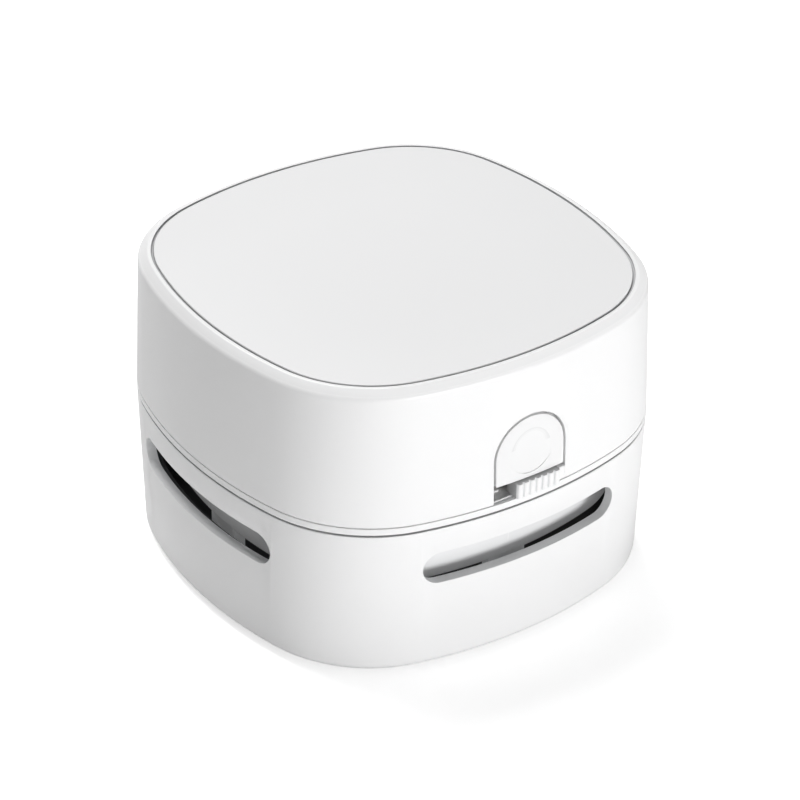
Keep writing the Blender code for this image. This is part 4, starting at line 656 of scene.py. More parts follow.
def discard(piece):
    """Takes a piece and its mesh out of the scene."""
    mesh = piece.data
    bpy.data.objects.remove(piece, do_unlink=True)
    bpy.data.meshes.remove(mesh)


def carve(piece, tool, operation="DIFFERENCE"):
    """Takes a tool's shape out of a piece, and the tool with it."""
    way = {"operation": operation, "solver": "EXACT", "material_mode": "TRANSFER"}
    apply_modifier(piece, "BOOLEAN", object=tool, **way)
    discard(tool)


def weld(piece, *others):
    """Makes one piece of several that touch."""
    pick(piece, *others)
    bpy.ops.object.join()
    pick()
    return piece


def break_edges(piece, width, segments=2, angle=32):
    """Takes the sharpness off every edge that turns by more than an angle."""
    limits = {"limit_method": "ANGLE", "angle_limit": math.radians(angle), "use_clamp_overlap": True}
    apply_modifier(piece, "BEVEL", width=width, segments=segments, miter_outer="MITER_ARC", **limits)


def smooth(piece, angle):
    pick(piece)
    bpy.ops.object.shade_smooth_by_angle(angle=math.radians(angle))
    piece.select_set(False)


def shifted_copy(piece, name, travel):
    """A copy with a mesh of its own, moved in its mesh."""
    mesh = piece.data.copy()
    mesh.name = name
    made = bpy.data.objects.new(name, mesh)
    bpy.context.collection.objects.link(made)
    open_for_shaping(made)
    bpy.ops.transform.translate(value=travel)
    bpy.ops.object.mode_set(mode="OBJECT")
    pick()
    return made


def coloured(piece, finish):
    piece.data.materials.clear()
    piece.data.materials.append(FINISHES[finish])
    return piece


def tinted(piece, finish, chosen):
    """Gives the faces that a rule picks, from their middle and their normal, a second finish."""
    mesh = piece.data
    mesh.materials.append(FINISHES[finish])
    for face in mesh.polygons:
        if chosen(face.center, face.normal):
            face.material_index = len(mesh.materials) - 1
    return piece


def fitted(piece, body, slot, *nodes, angle=38):
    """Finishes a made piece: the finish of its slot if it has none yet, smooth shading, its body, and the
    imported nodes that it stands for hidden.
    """
    if not [material for material in piece.data.materials if material]:
        coloured(piece, slot)
    smooth(piece, angle)
    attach(piece, body)
    if nodes:
        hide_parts(*nodes)
    return piece


def fitted_row(first, title, places, body, slot, node, angle):
    """Fits a piece at the first of several places, and a copy of it at each of the others."""
    for number, (x, y) in enumerate(places, 1):
        travel = (x - places[0][0], y - places[0][1], 0)
        piece = first if number == 1 else shifted_copy(first, f"{title}_{number}", travel)
        fitted(piece, body, slot, f"{node}_{number}", angle=angle)


def plan(x, y, z=0.0):
    """A place in the body's own frame, as a place in the world."""
    return (x, y + BODY_SETBACK, z)


def flat(outline, height):
    """An outline laid level at a height."""
    return [plan(x, y, height) for x, y in outline]


def facing_front(outline, y, level=0.0):
    """An outline of across and up that stands across the body at y."""
    return [plan(x, y, z + level) for x, z in outline]


def facing_side(outline, x, level=0.0):
    """An outline of along and up that stands along the body at x."""
    return [plan(x, y, z + level) for y, z in outline]


def side_middles(distance):
    return [(distance, 0), (0, distance), (-distance, 0), (0, -distance)]


def corner_places(distance):
    return [(x * distance, y * distance) for x in (-1, 1) for y in (-1, 1)]


def rod(radius, low, high):
    """The profile of a plain round rod."""
    return [(0, low), (radius, low), (radius, high), (0, high)]


def stadium(half_length, half_height, steps=12):
    """A slot with round ends, as points of its own plane."""
    points = []
    for end in (1, -1):
        centre = end * (half_length - half_height)
        for step in range(steps + 1):
            turn = QUARTER_TURN * (2 * step / steps - end)
            points.append((centre + half_height * math.cos(turn), half_height * math.sin(turn)))
    return points


def gravestone(half_width, bottom, centre, steps=32, foot=0.0):
    """Straight sides from the bottom up to a half circle."""
    turns = [math.pi * step / steps for step in range(steps + 1)]
    top = [(half_width * math.cos(turn), centre + half_width * math.sin(turn)) for turn in turns]
    if not foot:
        return [(half_width, bottom), *top, (-half_width, bottom)]
    right = quarter((half_width - foot, bottom + foot), foot, -QUARTER_TURN, 0, 4)
    left = quarter((-half_width + foot, bottom + foot), foot, math.pi, 3 * QUARTER_TURN, 4)
    return [*right, *top, *left]


# Pieces of the lower half


def lower_shell():
    """The white wall of the lower half: rolled bottom edge, flange, four air slots and the latch catches."""
    flange_top, flange_end = SHELL_BOTTOM + FLANGE_THICKNESS, LOWER_DRAFT + FLANGE_REACH
    middle = (LOWER_DRAFT + BOTTOM_FILLET, SHELL_BOTTOM + BOTTOM_FILLET)
    roll = quarter(middle, BOTTOM_FILLET, math.pi, 3 * QUARTER_TURN)
    corners = [
        (0, LOWER_TOP, 0.00025),
        *[(inset, height, 0) for inset, height in roll],
        (flange_end, SHELL_BOTTOM, 0.0003),
        (flange_end, flange_top, 0.0003),
        (LOWER_DRAFT + LOWER_WALL, flange_top, 0.0004),
        (LOWER_WALL, LOWER_TOP, 0.0002),
    ]
    shell = coloured(swept_round("lower_shell_wall", eased(corners)), "white_plastic")
    mouth = stadium(SLOT_HALF_LENGTH, SLOT_HALF_HEIGHT, 20)
    inner, outside = BODY_HALF - 0.0072, BODY_HALF + TOOL_REACH
    tools = []
    for sign in (-1, 1):
        start, span = sign * inner, sign * (outside - inner)
        front = drawn_out("slot_tool", facing_front(mouth, start, SLOT_LEVEL), (0, span, 0))
        side = drawn_out("slot_tool", facing_side(mouth, start, SLOT_LEVEL), (span, 0, 0))
        # The slots' cut faces take the grey of painted shade
        tools += [coloured(front, "painted_recess_shade"), coloured(side, "painted_recess_shade")]
    hole = [
        (0, -TOOL_REACH), (0.0022, -TOOL_REACH), (0.0022, 0.0017),
        (SCREW_BORE, 0.0017), (SCREW_BORE, 0.0050), (0, 0.0050),
    ]
    for x, y in side_middles(TRAY_SCREW_PLACE):
        tools.append(coloured(turned("screw_hole_tool", hole, plan(x, y, SHELL_BOTTOM)), "white_plastic"))
    for x, y in corner_places(FOOT_PLACE):
        pocket = turned("foot_pocket_tool", rod(0.0028, -TOOL_REACH, 0.0009), plan(x, y, SHELL_BOTTOM))
        tools.append(coloured(pocket, "white_plastic"))
    carve(shell, weld(*tools))
    break_edges(shell, 0.00022)
    outline = [(-0.04106, 0.02776), (-0.03828, 0.02776), (-0.03828, 0.02836), (-0.04106, 0.02896)]
    for side in (-1, 1):
        start = side * CATCH_PLACE - CATCH_HALF_WIDTH
        catch = drawn_out("catch", facing_side(outline, start), (2 * CATCH_HALF_WIDTH, 0, 0))
        break_edges(catch, 0.00012)
        weld(shell, coloured(catch, "white_plastic"))
    # Painted shade: the shell's top face, in the gap under the deck, is greyed
    tinted(shell, "seam", lambda place, facing: place.z > LOWER_TOP - 0.00004 and facing.z > 0.9)
    fitted(shell, "lower_half", "white_plastic", "lower_shell")


def base_tray():
    """The black liner: a thin wall, a floor with the inlet's chimney, brush pockets and screw bosses; the
    black of the wall that lines the shell behind the slots is painted shade, a dark sheet where the inside
    lies in shade.
    """
    wall = LOWER_WALL + SEAT_GAP
    top = TRAY_BOTTOM + 0.0138
    corners = [
        (PLAN_CORE, TRAY_BOTTOM, 0),
        (wall + draft_at(TRAY_BOTTOM), TRAY_BOTTOM, 0.0004),
        (wall + draft_at(top), top, 0.0004),
        (wall + draft_at(top) + THIN_WALL, top, 0.0004),
        (wall + draft_at(TRAY_FLOOR_TOP) + THIN_WALL, TRAY_FLOOR_TOP, 0.0006),
        (PLAN_CORE, TRAY_FLOOR_TOP, 0),
    ]
    tray = swept_round("base_tray_liner", eased(corners, False), False)
    root = TRAY_FLOOR_TOP - ROOT
    boss = [(0, 0), (0.0026, 0), (0.0023, 0.0060), (0.0021, 0.0062), (0, 0.0062)]
    additions = [turned("boss", boss, plan(x, y, root)) for x, y in side_middles(TRAY_SCREW_PLACE)]
    for middle in (-BRUSH_PLACE, BRUSH_PLACE):
        low, high = (-0.0192, middle - 0.0030, root), (0.0192, middle + 0.0030, 0.0077)
        additions.append(block("pocket_box", low, high, 0.0003))
    additions.append(drawn_out("chimney", flat(stadium(0.0142, 0.0057, 20), root), (0, 0, 0.0193 - root)))
    for addition in additions:
        carve(tray, addition, "UNION")
    tools = [drawn_out("inlet_tool", flat(stadium(0.0130, 0.0045, 20), 0.0010), (0, 0, 0.0200))]
    for middle in (-BRUSH_PLACE, BRUSH_PLACE):
        low, high = (-0.0183, middle - 0.0021, 0.0010), (0.0183, middle + 0.0021, 0.0068)
        tools.append(block("pocket_tool", low, high))
    for x, y in side_middles(TRAY_SCREW_PLACE):
        tools.append(turned("screw_bore_tool", rod(SCREW_BORE, 0, 0.0090), plan(x, y, SHELL_BOTTOM), 24))
    carve(tray, weld(*tools))
    break_edges(tray, 0.00025)
    fitted(tray, "lower_half", "black_plastic", "base_tray")


def dust_cup():
    """The light cup that shows in the slots, with the filter's ledge, a sump and a collar round the inlet."""
    wall = CUP_INSET + CUP_WALL
    sump, sump_top = BODY_HALF - 0.0240, CUP_SUMP_BOTTOM + CUP_WALL
    middle = (CUP_INSET + CUP_FILLET, CUP_BOTTOM + CUP_FILLET)
    low = quarter(middle, CUP_FILLET, math.pi, 3 * QUARTER_TURN, 6)
    corners = [
        (sump, sump_top, 0),
        (wall, CUP_BOTTOM + CUP_WALL, 0.0008),
        (wall, 0.0199, 0.0004),
        (wall + 0.0019, 0.0218, 0.0003),
        (wall + 0.0019, CUP_LEDGE_TOP, 0.0003),
        (wall, CUP_LEDGE_TOP, 0.0003),
        (wall, CUP_RIM, 0.0003),
        (CUP_INSET, CUP_RIM, 0.0003),
        *[(inset, height, 0) for inset, height in low],
        (sump, CUP_SUMP_BOTTOM, 0),
    ]
    cup = coloured(swept_round("dust_cup_shell", eased(corners, False), False), "grey_plastic")
    base = CUP_SUMP_BOTTOM + 0.0007
    collar = flat(stadium(0.0159, 0.0074, 20), base)
    carve(cup, drawn_out("collar", collar, (0, 0, sump_top + 0.0030 - base)), "UNION")
    near, far, half = 0.0345, 0.0369, 0.0039
    for x, y in ((0, -1), (1, 0), (0, 1), (-1, 0)):
        low = (min(x * near, x * far) - abs(y) * half, min(y * near, y * far) - abs(x) * half, 0.0111)
        high = (max(x * near, x * far) + abs(y) * half, max(y * near, y * far) + abs(x) * half)
        carve(cup, block("tab", low, (*high, CUP_BOTTOM + CUP_FILLET), 0.0002), "UNION")
    carve(cup, drawn_out("passage_tool", flat(stadium(0.0145, 0.0060, 20), 0.0080), (0, 0, 0.0120)))
    break_edges(cup, 0.0002)
    fitted(cup, "lower_half", "grey_plastic", "dust_cup")


def cup_seal():
    """The rubber ring on the cup's rim: a flat foot and a rounded lip."""
    low, high = CUP_RIM + SEAT_GAP, SEAL_TOP
    outer, inner = CUP_INSET, CUP_INSET + CUP_WALL
    corners = [(outer, low, 0.00015), (outer, high, 0.0005), (inner, high, 0.0005), (inner, low, 0.00015)]
    fitted(swept_round("cup_seal_ring", eased(corners)), "lower_half", "rubber", "cup_seal", angle=60)


def feet():
    """Four round rubber feet with a rolled edge and a shallow dished sole."""
    profile = [
        (0, 0.00012), (0.0010, 0.00006), (0.0019, 0.0), (0.0022, 0.00003),
        (0.0024, 0.00014), (0.0025, 0.0004), (0.0025, 0.00140), (0, 0.00140),
    ]
    places = corner_places(FOOT_PLACE)
    first = turned("foot_sole_1", profile, plan(*places[0]), 40)
    fitted_row(first, "foot_sole", places, "lower_half", "foot_rubber", "foot", 50)


def cross_head_screw(name, centre, head, height, length):
    """A pan-head screw standing on its head, with a plain cross recess and a rolled thread."""
    shank, pitch = 0.0010, 0.0006
    profile = [
        (0, 0), (head * 0.72, 0.00004), (head * 0.92, 0.00018), (head, 0.00042),
        (head, height - 0.00006), (head - 0.00006, height), (shank, height),
    ]
    for index in range(int((length - 2 * shank) / pitch)):
        up = height + 0.0003 + pitch * index
        profile += [(shank * 0.80, up), (shank, up + pitch * 0.45), (shank * 0.80, up + pitch * 0.9)]
    profile += [(shank * 0.6, height + length - 0.0004), (0, height + length)]
    screw = turned(name, profile, centre, 28)
    x, y, z = centre
    narrow, wide = 0.00024, head * 0.60
    for half_x, half_y in ((narrow, wide), (wide, narrow)):
        low, high = (x - half_x, y - half_y, z - 0.001), (x + half_x, y + half_y, z + 0.00055)
        carve(screw, brick("recess_tool", low, high))
    break_edges(screw, 0.00005, 1)
    return screw


def tray_screws():
    places = side_middles(TRAY_SCREW_PLACE)
    first = cross_head_screw("tray_screw_head_1", plan(*places[0], 0.0010), 0.0019, 0.0012, 0.0064)
    fitted_row(first, "tray_screw_head", places, "lower_half", "steel", "tray_screw", 30)


def bristle(index):
    """One bristle of a tuft, leaning out from its root."""
    turn = FULL_TURN * index * 0.382
    reach = TUFT_RADIUS * math.sqrt((index + 0.5) / BRISTLES_IN_TUFT)
    lean = 0.55 + 0.45 * math.sin(index * 2.4)
    base = (reach * math.cos(turn), reach * math.sin(turn))
    pick()
    tip, root = 0.00007, 0.00012
    bpy.ops.mesh.primitive_cone_add(vertices=6, radius1=tip, radius2=root, depth=0.0046, location=(0, 0, 0))
    strand = added("bristle")
    open_for_shaping(strand)
    bpy.ops.mesh.bisect(plane_co=(0, 0, 0), plane_no=(0, 0, 1))
    bpy.ops.mesh.select_all(action="SELECT")
    bpy.ops.transform.translate(value=(*base, 0))
    bpy.ops.mesh.select_all(action="DESELECT")
    shape = bmesh.from_edit_mesh(strand.data)
    for vertex in shape.verts:
        vertex.select_set(vertex.co.z < -0.001)
    shape.select_flush_mode()
    bpy.ops.transform.translate(value=(base[0] * 0.28 * lean, base[1] * 0.28 * lean, 0.0001 * (index % 3)))
    bpy.ops.object.mode_set(mode="OBJECT")
    return strand


def brush_strips():
    """Two strips: a moulded backing with rows of tufts, each a bundle of leaning bristles."""
    pitch = 2 * BRUSH_HALF_LENGTH / TUFTS_IN_ROW
    for name, middle in (("front", -BRUSH_PLACE), ("rear", BRUSH_PLACE)):
        low = (-BRUSH_HALF_LENGTH, middle - 0.0018, 0.0047)
        high = (BRUSH_HALF_LENGTH, middle + 0.0018, 0.0065)
        backing = block("brush_" + name + "_backing", low, high, 0.0003)
        bundle = weld(*[bristle(index) for index in range(BRISTLES_IN_TUFT)])
        tufts = []
        for row in (-1, 1):
            for index in range(TUFTS_IN_ROW):
                x = pitch * (index + 0.5) - BRUSH_HALF_LENGTH
                place = plan(x, middle + row * TUFT_ROW_PLACE, TUFT_MIDDLE)
                tufts.append(shifted_copy(bundle, f"tuft_{row}_{index}", place))
        discard(bundle)
        weld(backing, *tufts)
        fitted(backing, "lower_half", "bristle", "brush_strip_" + name)


# Filter


def filter_insert():
    """A frame with a cross bar and a pull; the pleated fleece is a piece of its own."""
    outer = CUP_INSET + CUP_WALL + SEAT_GAP
    inner = outer + 0.0035
    floor_top = FILTER_BOTTOM + 0.0008
    corners = [
        (outer, FILTER_BOTTOM, 0.0003),
        (outer, FILTER_TOP, 0.0003),
        (inner, FILTER_TOP, 0.0003),
        (inner, floor_top, 0),
        (inner + 0.0015, floor_top, 0.0002),
        (inner + 0.0015, FILTER_BOTTOM, 0.0002),
    ]
    ring = swept_round("filter_frame_ring", eased(corners))
    reach = BODY_HALF - inner + ROOT
    bar = block("filter_bar", (-reach, -0.0015, FILTER_TOP - 0.0012), (reach, 0.0015, FILTER_TOP), 0.0003)
    carve(ring, bar, "UNION")
    pull = gravestone(0.0022, FILTER_TOP - 0.0003, FILTER_TOP, 24)
    loop = drawn_out("filter_pull", facing_front(pull, -0.0006), (0, 0.0012, 0))
    eye = plan(0, 0, FILTER_TOP + 0.0008)
    carve(loop, turned("pull_tool", rod(0.0010, -TOOL_REACH, TOOL_REACH), eye, 24, "Y"))
    break_edges(loop, 0.00025)
    weld(ring, loop)
    break_edges(ring, 0.0001, 1, 50)
    fitted(ring, "filter", "grey_plastic", "filter_frame")


def filter_media():
    """The fleece: a folded sheet with soft creases, cut to the frame's opening."""
    inner = CUP_INSET + CUP_WALL + SEAT_GAP + 0.0035
    half, bottom, height, thickness = BODY_HALF - inner, FILTER_BOTTOM + 0.0011, 0.0011, 0.0005
    folds = 28
    ease = half * 0.18 / folds
    under = []
    for step in range(folds + 1):
        x = -half + 2 * half * step / folds
        level = height if step % 2 else 0
        soft = height * 0.09 * (-1 if step % 2 else 1)
        crease = [(x - ease, level + soft), (x, level), (x + ease, level + soft)]
        under += crease if step not in (0, folds) else crease[1:2]
    outline = under + [(x, z + thickness) for x, z in reversed(under)]
    sheet = drawn_out("filter_fleece", facing_front(outline, -half, bottom), (0, 2 * half, 0))
    edge, low, high = inner + 0.0003, bottom - 0.001, bottom + 0.003
    bound = [(PLAN_CORE, low), (edge, low), (edge, high), (PLAN_CORE, high)]
    carve(sheet, swept_round("fleece_bound", bound, False), "INTERSECT")
    fitted(sheet, "filter", "filter_paper", "filter_media", angle=50)


# Pieces of the upper half


def sector(quarter_number, insets, start, end, height):
    """A stretch of one side's wall in plan, between two insets and two distances from the side's middle."""
    points = []
    turn = quarter_number * QUARTER_TURN
    for inset, ends in zip(insets, ((start, end), (end, start))):
        radius = SIDE_RADIUS - inset
        first, last = (math.asin(place / radius) for place in ends)
        for step in range(7):
            angle = first + (last - first) * step / 6
            x, y = radius * math.cos(angle) - SIDE_CENTRE, radius * math.sin(angle)
            points.append((x * math.cos(turn) - y * math.sin(turn), x * math.sin(turn) + y * math.cos(turn)))
    return flat(points, height)


def deck_tools():
    """Cuts the chassis's windows, the fan's intake and the screws' bores."""
    under, through = DECK_BOTTOM - TOOL_REACH, (0, 0, 2 * TOOL_REACH)
    tools = []
    for number in range(4):
        start = 0.0090 if number == 3 else 0.0040
        for near, far in ((start, 0.0142), (-0.0142, -start)):
            window = sector(number, (0.0025, 0.0059), near, far, under)
            tools.append(drawn_out("window_tool", window, through))
    middle = (INTAKE_REACH + 0.0035) / 2
    slot = stadium((INTAKE_REACH - 0.0035) / 2, 0.0018, 8)
    for index in range(8):
        turn = FULL_TURN * (index + 0.5) / 8
        outline = []
        for along, across in slot:
            x = (middle + along) * math.cos(turn) - across * math.sin(turn)
            y = (middle + along) * math.sin(turn) + across * math.cos(turn)
            outline.append(plan(x, y, under))
        tools.append(drawn_out("intake_tool", outline, through))
    for x, y in corner_places(POST_PLACE):
        tools.append(turned("screw_bore_tool", rod(SCREW_BORE, 0, 0.0050), plan(x, y, under), 24))
    return weld(*tools)


def deck_fittings(low_root, high_root):
    """What stands on the chassis: tongues, the fan's ring, a bracket, the cell's cradle, guides and pins."""
    fittings = []
    down, up = DECK_BOTTOM - 0.0021, DECK_TOP + 0.0016
    for number in range(4):
        for near, far in ((0.0155, 0.0205), (-0.0205, -0.0155)):
            inset = LOWER_WALL + SEAT_GAP + draft_at(down)
            tongue = sector(number, (inset, inset + THIN_WALL), near, far, down)
            fittings.append(drawn_out("tongue", tongue, (0, 0, low_root - down)))
            inset = UPPER_WALL + SEAT_GAP + draft_at(up)
            tongue = sector(number, (inset, inset + THIN_WALL), near, far, high_root)
            fittings.append(drawn_out("tongue", tongue, (0, 0, up - high_root)))
    ring = [(0.0243, 0), (0.0253, 0), (0.0253, 0.0020), (0.0243, 0.0020), (0.0243, 0)]
    fittings.append(turned("fan_ring", ring, plan(0, 0, high_root), 96))
    low, high = (-0.0082, -0.0326, high_root), (0.0082, -0.0312, SPRING_LEVEL + 0.0030)
    fittings.append(block("spring_bracket", low, high))
    outer, near, end = 0.0373, 0.0290, 0.01699 + SEAT_GAP
    past, beside = end + THIN_WALL, THIN_WALL - near
    cradle = [
        (-outer, -past), (beside, -past), (beside, past), (-outer, past),
        (-outer, end), (-near, end), (-near, -end), (-outer, -end),
    ]
    fittings.append(drawn_out("pack_cradle", flat(cradle, high_root), (0, 0, 0.0070 + ROOT)))
    for middle in (-0.01400, 0.01400):
        for low_y, high_y in ((0.0312, 0.0327), (0.0345, 0.0360)):
            low, high = (middle - 0.0015, low_y, high_root), (middle + 0.0015, high_y, DECK_TOP + 0.0060)
            fittings.append(block("board_guide", low, high))
    pin = [(0, 0), (0.0008, 0), (0.0009, 0.0001), (0.0009, 0.0020), (0, 0.0020)]
    for place in (-PIN_PLACE, PIN_PLACE):
        fittings.append(turned("spring_pin", pin, plan(place, -0.0341, SPRING_LEVEL), 24, "Y"))
    return fittings


def chassis():
    """The deck whose rim shows as the seam, with its windows, the seal wall and what stands on it."""
    corners = [
        (PLAN_CORE, DECK_BOTTOM, 0),
        (0.0022, DECK_BOTTOM, 0),
        (0, DECK_BOTTOM, 0.0002),
        (0, DECK_TOP, 0.00012),
        (PLAN_CORE, DECK_TOP, 0),
    ]
    deck = swept_round("chassis_deck", eased(corners, False), False)
    low_root, high_root = DECK_BOTTOM + ROOT, DECK_TOP - ROOT
    lip, inner = SEAL_TOP + SEAT_GAP, CUP_INSET + CUP_WALL
    wall = [(CUP_INSET, lip, 0.0003), (CUP_INSET, low_root, 0), (inner, low_root, 0), (inner, lip, 0.0003)]
    carve(deck, swept_round("seal_wall", eased(wall)), "UNION")
    carve(deck, deck_tools())
    break_edges(deck, 0.00018)
    fittings = deck_fittings(low_root, high_root)
    for fitting in fittings:
        break_edges(fitting, 0.00015)
    weld(deck, *fittings)
    fitted(deck, "upper_half", "white_plastic", "chassis")


def case_screws():
    places = corner_places(POST_PLACE)
    centre = plan(*places[0], DECK_BOTTOM - 0.0015)
    first = cross_head_screw("case_screw_head_1", centre, 0.0016, 0.0012, 0.0070)
    fitted_row(first, "case_screw_head", places, "upper_half", "steel", "case_screw", 30)


def knob_stop():
    """The white stop beside the slider's right end: a slab of the wall's own shape, cut to the arch."""
    draft = draft_at(UPPER_BOTTOM) + 0.0001
    depth = 0.0016
    slab = [(draft, UPPER_BOTTOM), (UPPER_DRAFT, WALL_TOP)]
    slab += [(UPPER_DRAFT + depth, WALL_TOP), (depth, UPPER_BOTTOM)]
    stop = swept_round("knob_stop", slab)
    low = (SLIDER_OFFSET + SLIDER_HALF_WIDTH + 0.0002, -BODY_HALF - TOOL_REACH, UPPER_BOTTOM - 0.001)
    high = (ARCH_HALF_WIDTH + 0.0002, -0.0380, SLIDER_TOP - 0.0006)
    carve(stop, block("stop_tool", low, high), "INTERSECT")
    break_edges(stop, 0.00010)
    return stop


def on_rim(place, facing):
    """Whether a face belongs to the slope between the wall and the flat ring."""
    slopes = WALL_TOP < place.z < TOP - 0.0001 and 0.76 < facing.z < 0.87
    return slopes and inset_at(place) < PANEL_INSET - 0.0004


def in_groove(place, facing):
    """Whether a face lies in the groove round the lid."""
    return LEDGE_TOP - 0.0001 < place.z < TOP - 0.00025 and inset_at(place) > PANEL_INSET - 0.0001


def upper_shell():
    """The white cover: a tapering wall, a sloping rim and a flat ring, with the arch and the rear mouths."""
    ledge, step = PANEL_INSET + 0.0030, PANEL_INSET + PANEL_GROOVE - 0.00006
    corners = [
        (step, LEDGE_TOP, 0),
        (ledge, LEDGE_TOP, 0.0002),
        (ledge, LEDGE_BOTTOM, 0.0002),
        (UPPER_WALL + UPPER_DRAFT, LEDGE_BOTTOM, 0.0003),
        (UPPER_WALL, UPPER_BOTTOM, 0.0002),
        (0, UPPER_BOTTOM, 0.0002),
        (UPPER_DRAFT, WALL_TOP, 0.0006),
        (PANEL_INSET - RIM_FLAT, TOP, 0.00012),
        (PANEL_INSET, TOP, 0.00010),
        (PANEL_INSET, TOP - GROOVE_DEPTH, 0),
        (step, TOP - GROOVE_DEPTH, 0),
    ]
    shell = coloured(swept_round("upper_shell_cover", eased(corners)), "white_plastic")
    opening = gravestone(ARCH_HALF_WIDTH, UPPER_BOTTOM - TOOL_REACH, ARCH_CENTRE, 40)
    arch = drawn_out("arch_tool", facing_front(opening, -BODY_HALF - TOOL_REACH), (0, 0.0078, 0))
    mouth = facing_front(stadium(0.00477, 0.00193, 20), BODY_HALF - 0.0058, SOCKET_LEVEL)
    mouth = drawn_out("socket_mouth_tool", mouth, (0, 0.0078, 0))
    light_end = plan(LIGHT_PLACE, LIGHT_FRONT, SOCKET_LEVEL)
    light = turned("light_mouth_tool", rod(0.0013, -0.004, 0.004), light_end, 28, "Y")
    # The socket's and the light's mouths get the grey of painted shade on their inner faces
    tools = (coloured(arch, "white_plastic"), coloured(mouth, "painted_recess_shade"), coloured(light, "painted_recess_shade"))
    carve(shell, weld(*tools))
    break_edges(shell, 0.00012)
    # Painted shade: the slope between the wall and the flat ring is darkened a little
    tinted(shell, "rim", on_rim)
    weld(shell, coloured(knob_stop(), "white_plastic"))
    # Painted shade: the faces in the groove round the lid are greyed
    tinted(shell, "groove", in_groove)
    foot = DECK_TOP + SEAT_GAP
    height = LEDGE_BOTTOM + 0.0003 - foot
    post = [(SCREW_BORE, 0), (0.0024, 0), (0.0026, 0.0002), (0.0028, height), (SCREW_BORE, height)]
    post.append(post[0])
    for x, y in corner_places(POST_PLACE):
        weld(shell, coloured(turned("post", post, plan(x, y, foot), 28), "white_plastic"))
    fitted(shell, "upper_half", "white_plastic", "upper_shell")


def top_panel():
    """The inlaid lid: bare and flat, with a broken edge that catches the light beside its groove."""
    edge = PANEL_INSET + PANEL_GROOVE
    skirt, skirt_low = PANEL_INSET + 0.0033, PANEL_BOTTOM - 0.0018
    corners = [
        (PLAN_CORE, PANEL_BOTTOM, 0),
        (skirt + 0.0010, PANEL_BOTTOM, 0.0002),
        (skirt + 0.0010, skirt_low, 0.0002),
        (skirt, skirt_low, 0.0002),
        (skirt, PANEL_BOTTOM, 0.0002),
        (edge, PANEL_BOTTOM, 0.0001),
        (edge, TOP, 0.00025),
        (PLAN_CORE, TOP, 0),
    ]
    lid = coloured(swept_round("top_panel_lid", eased(corners, False), False), "panel_plastic")
    # Painted shade: the lid's edge faces down in the groove are greyed
    tinted(lid, "groove", lambda place, facing: PANEL_BOTTOM < place.z < TOP - 0.0002)
    fitted(lid, "upper_half", "panel_plastic", "top_panel")


def dish_tool():
    """The shallow ball that presses the finger's dish into the button."""
    radius = (DIMPLE_RADIUS**2 + DIMPLE_DEPTH**2) / (2 * DIMPLE_DEPTH)
    reach = DIMPLE_RADIUS * 1.15
    cap = [(0, DIMPLE_DEPTH)]
    for step in range(1, 13):
        across = reach * step / 12
        cap.append((across, DIMPLE_DEPTH - radius + math.sqrt(radius**2 - across**2)))
    cap += [(reach, -0.003), (0, -0.003)]
    front = -BODY_HALF + draft_at(DIMPLE_LEVEL) + 0.00012
    return turned("dish_tool", cap, plan(0, front, DIMPLE_LEVEL), 48, "Y")


def in_dish_ring(low, high):
    """A rule for the dish's faces between two shares of its radius, above its middle."""

    def rule(place, facing):
        away = math.hypot(place.x, place.z - DIMPLE_LEVEL)
        upper = facing.y < -0.5 and place.z > DIMPLE_LEVEL + 0.0006
        return upper and low * DIMPLE_RADIUS < away < high * DIMPLE_RADIUS

    return rule


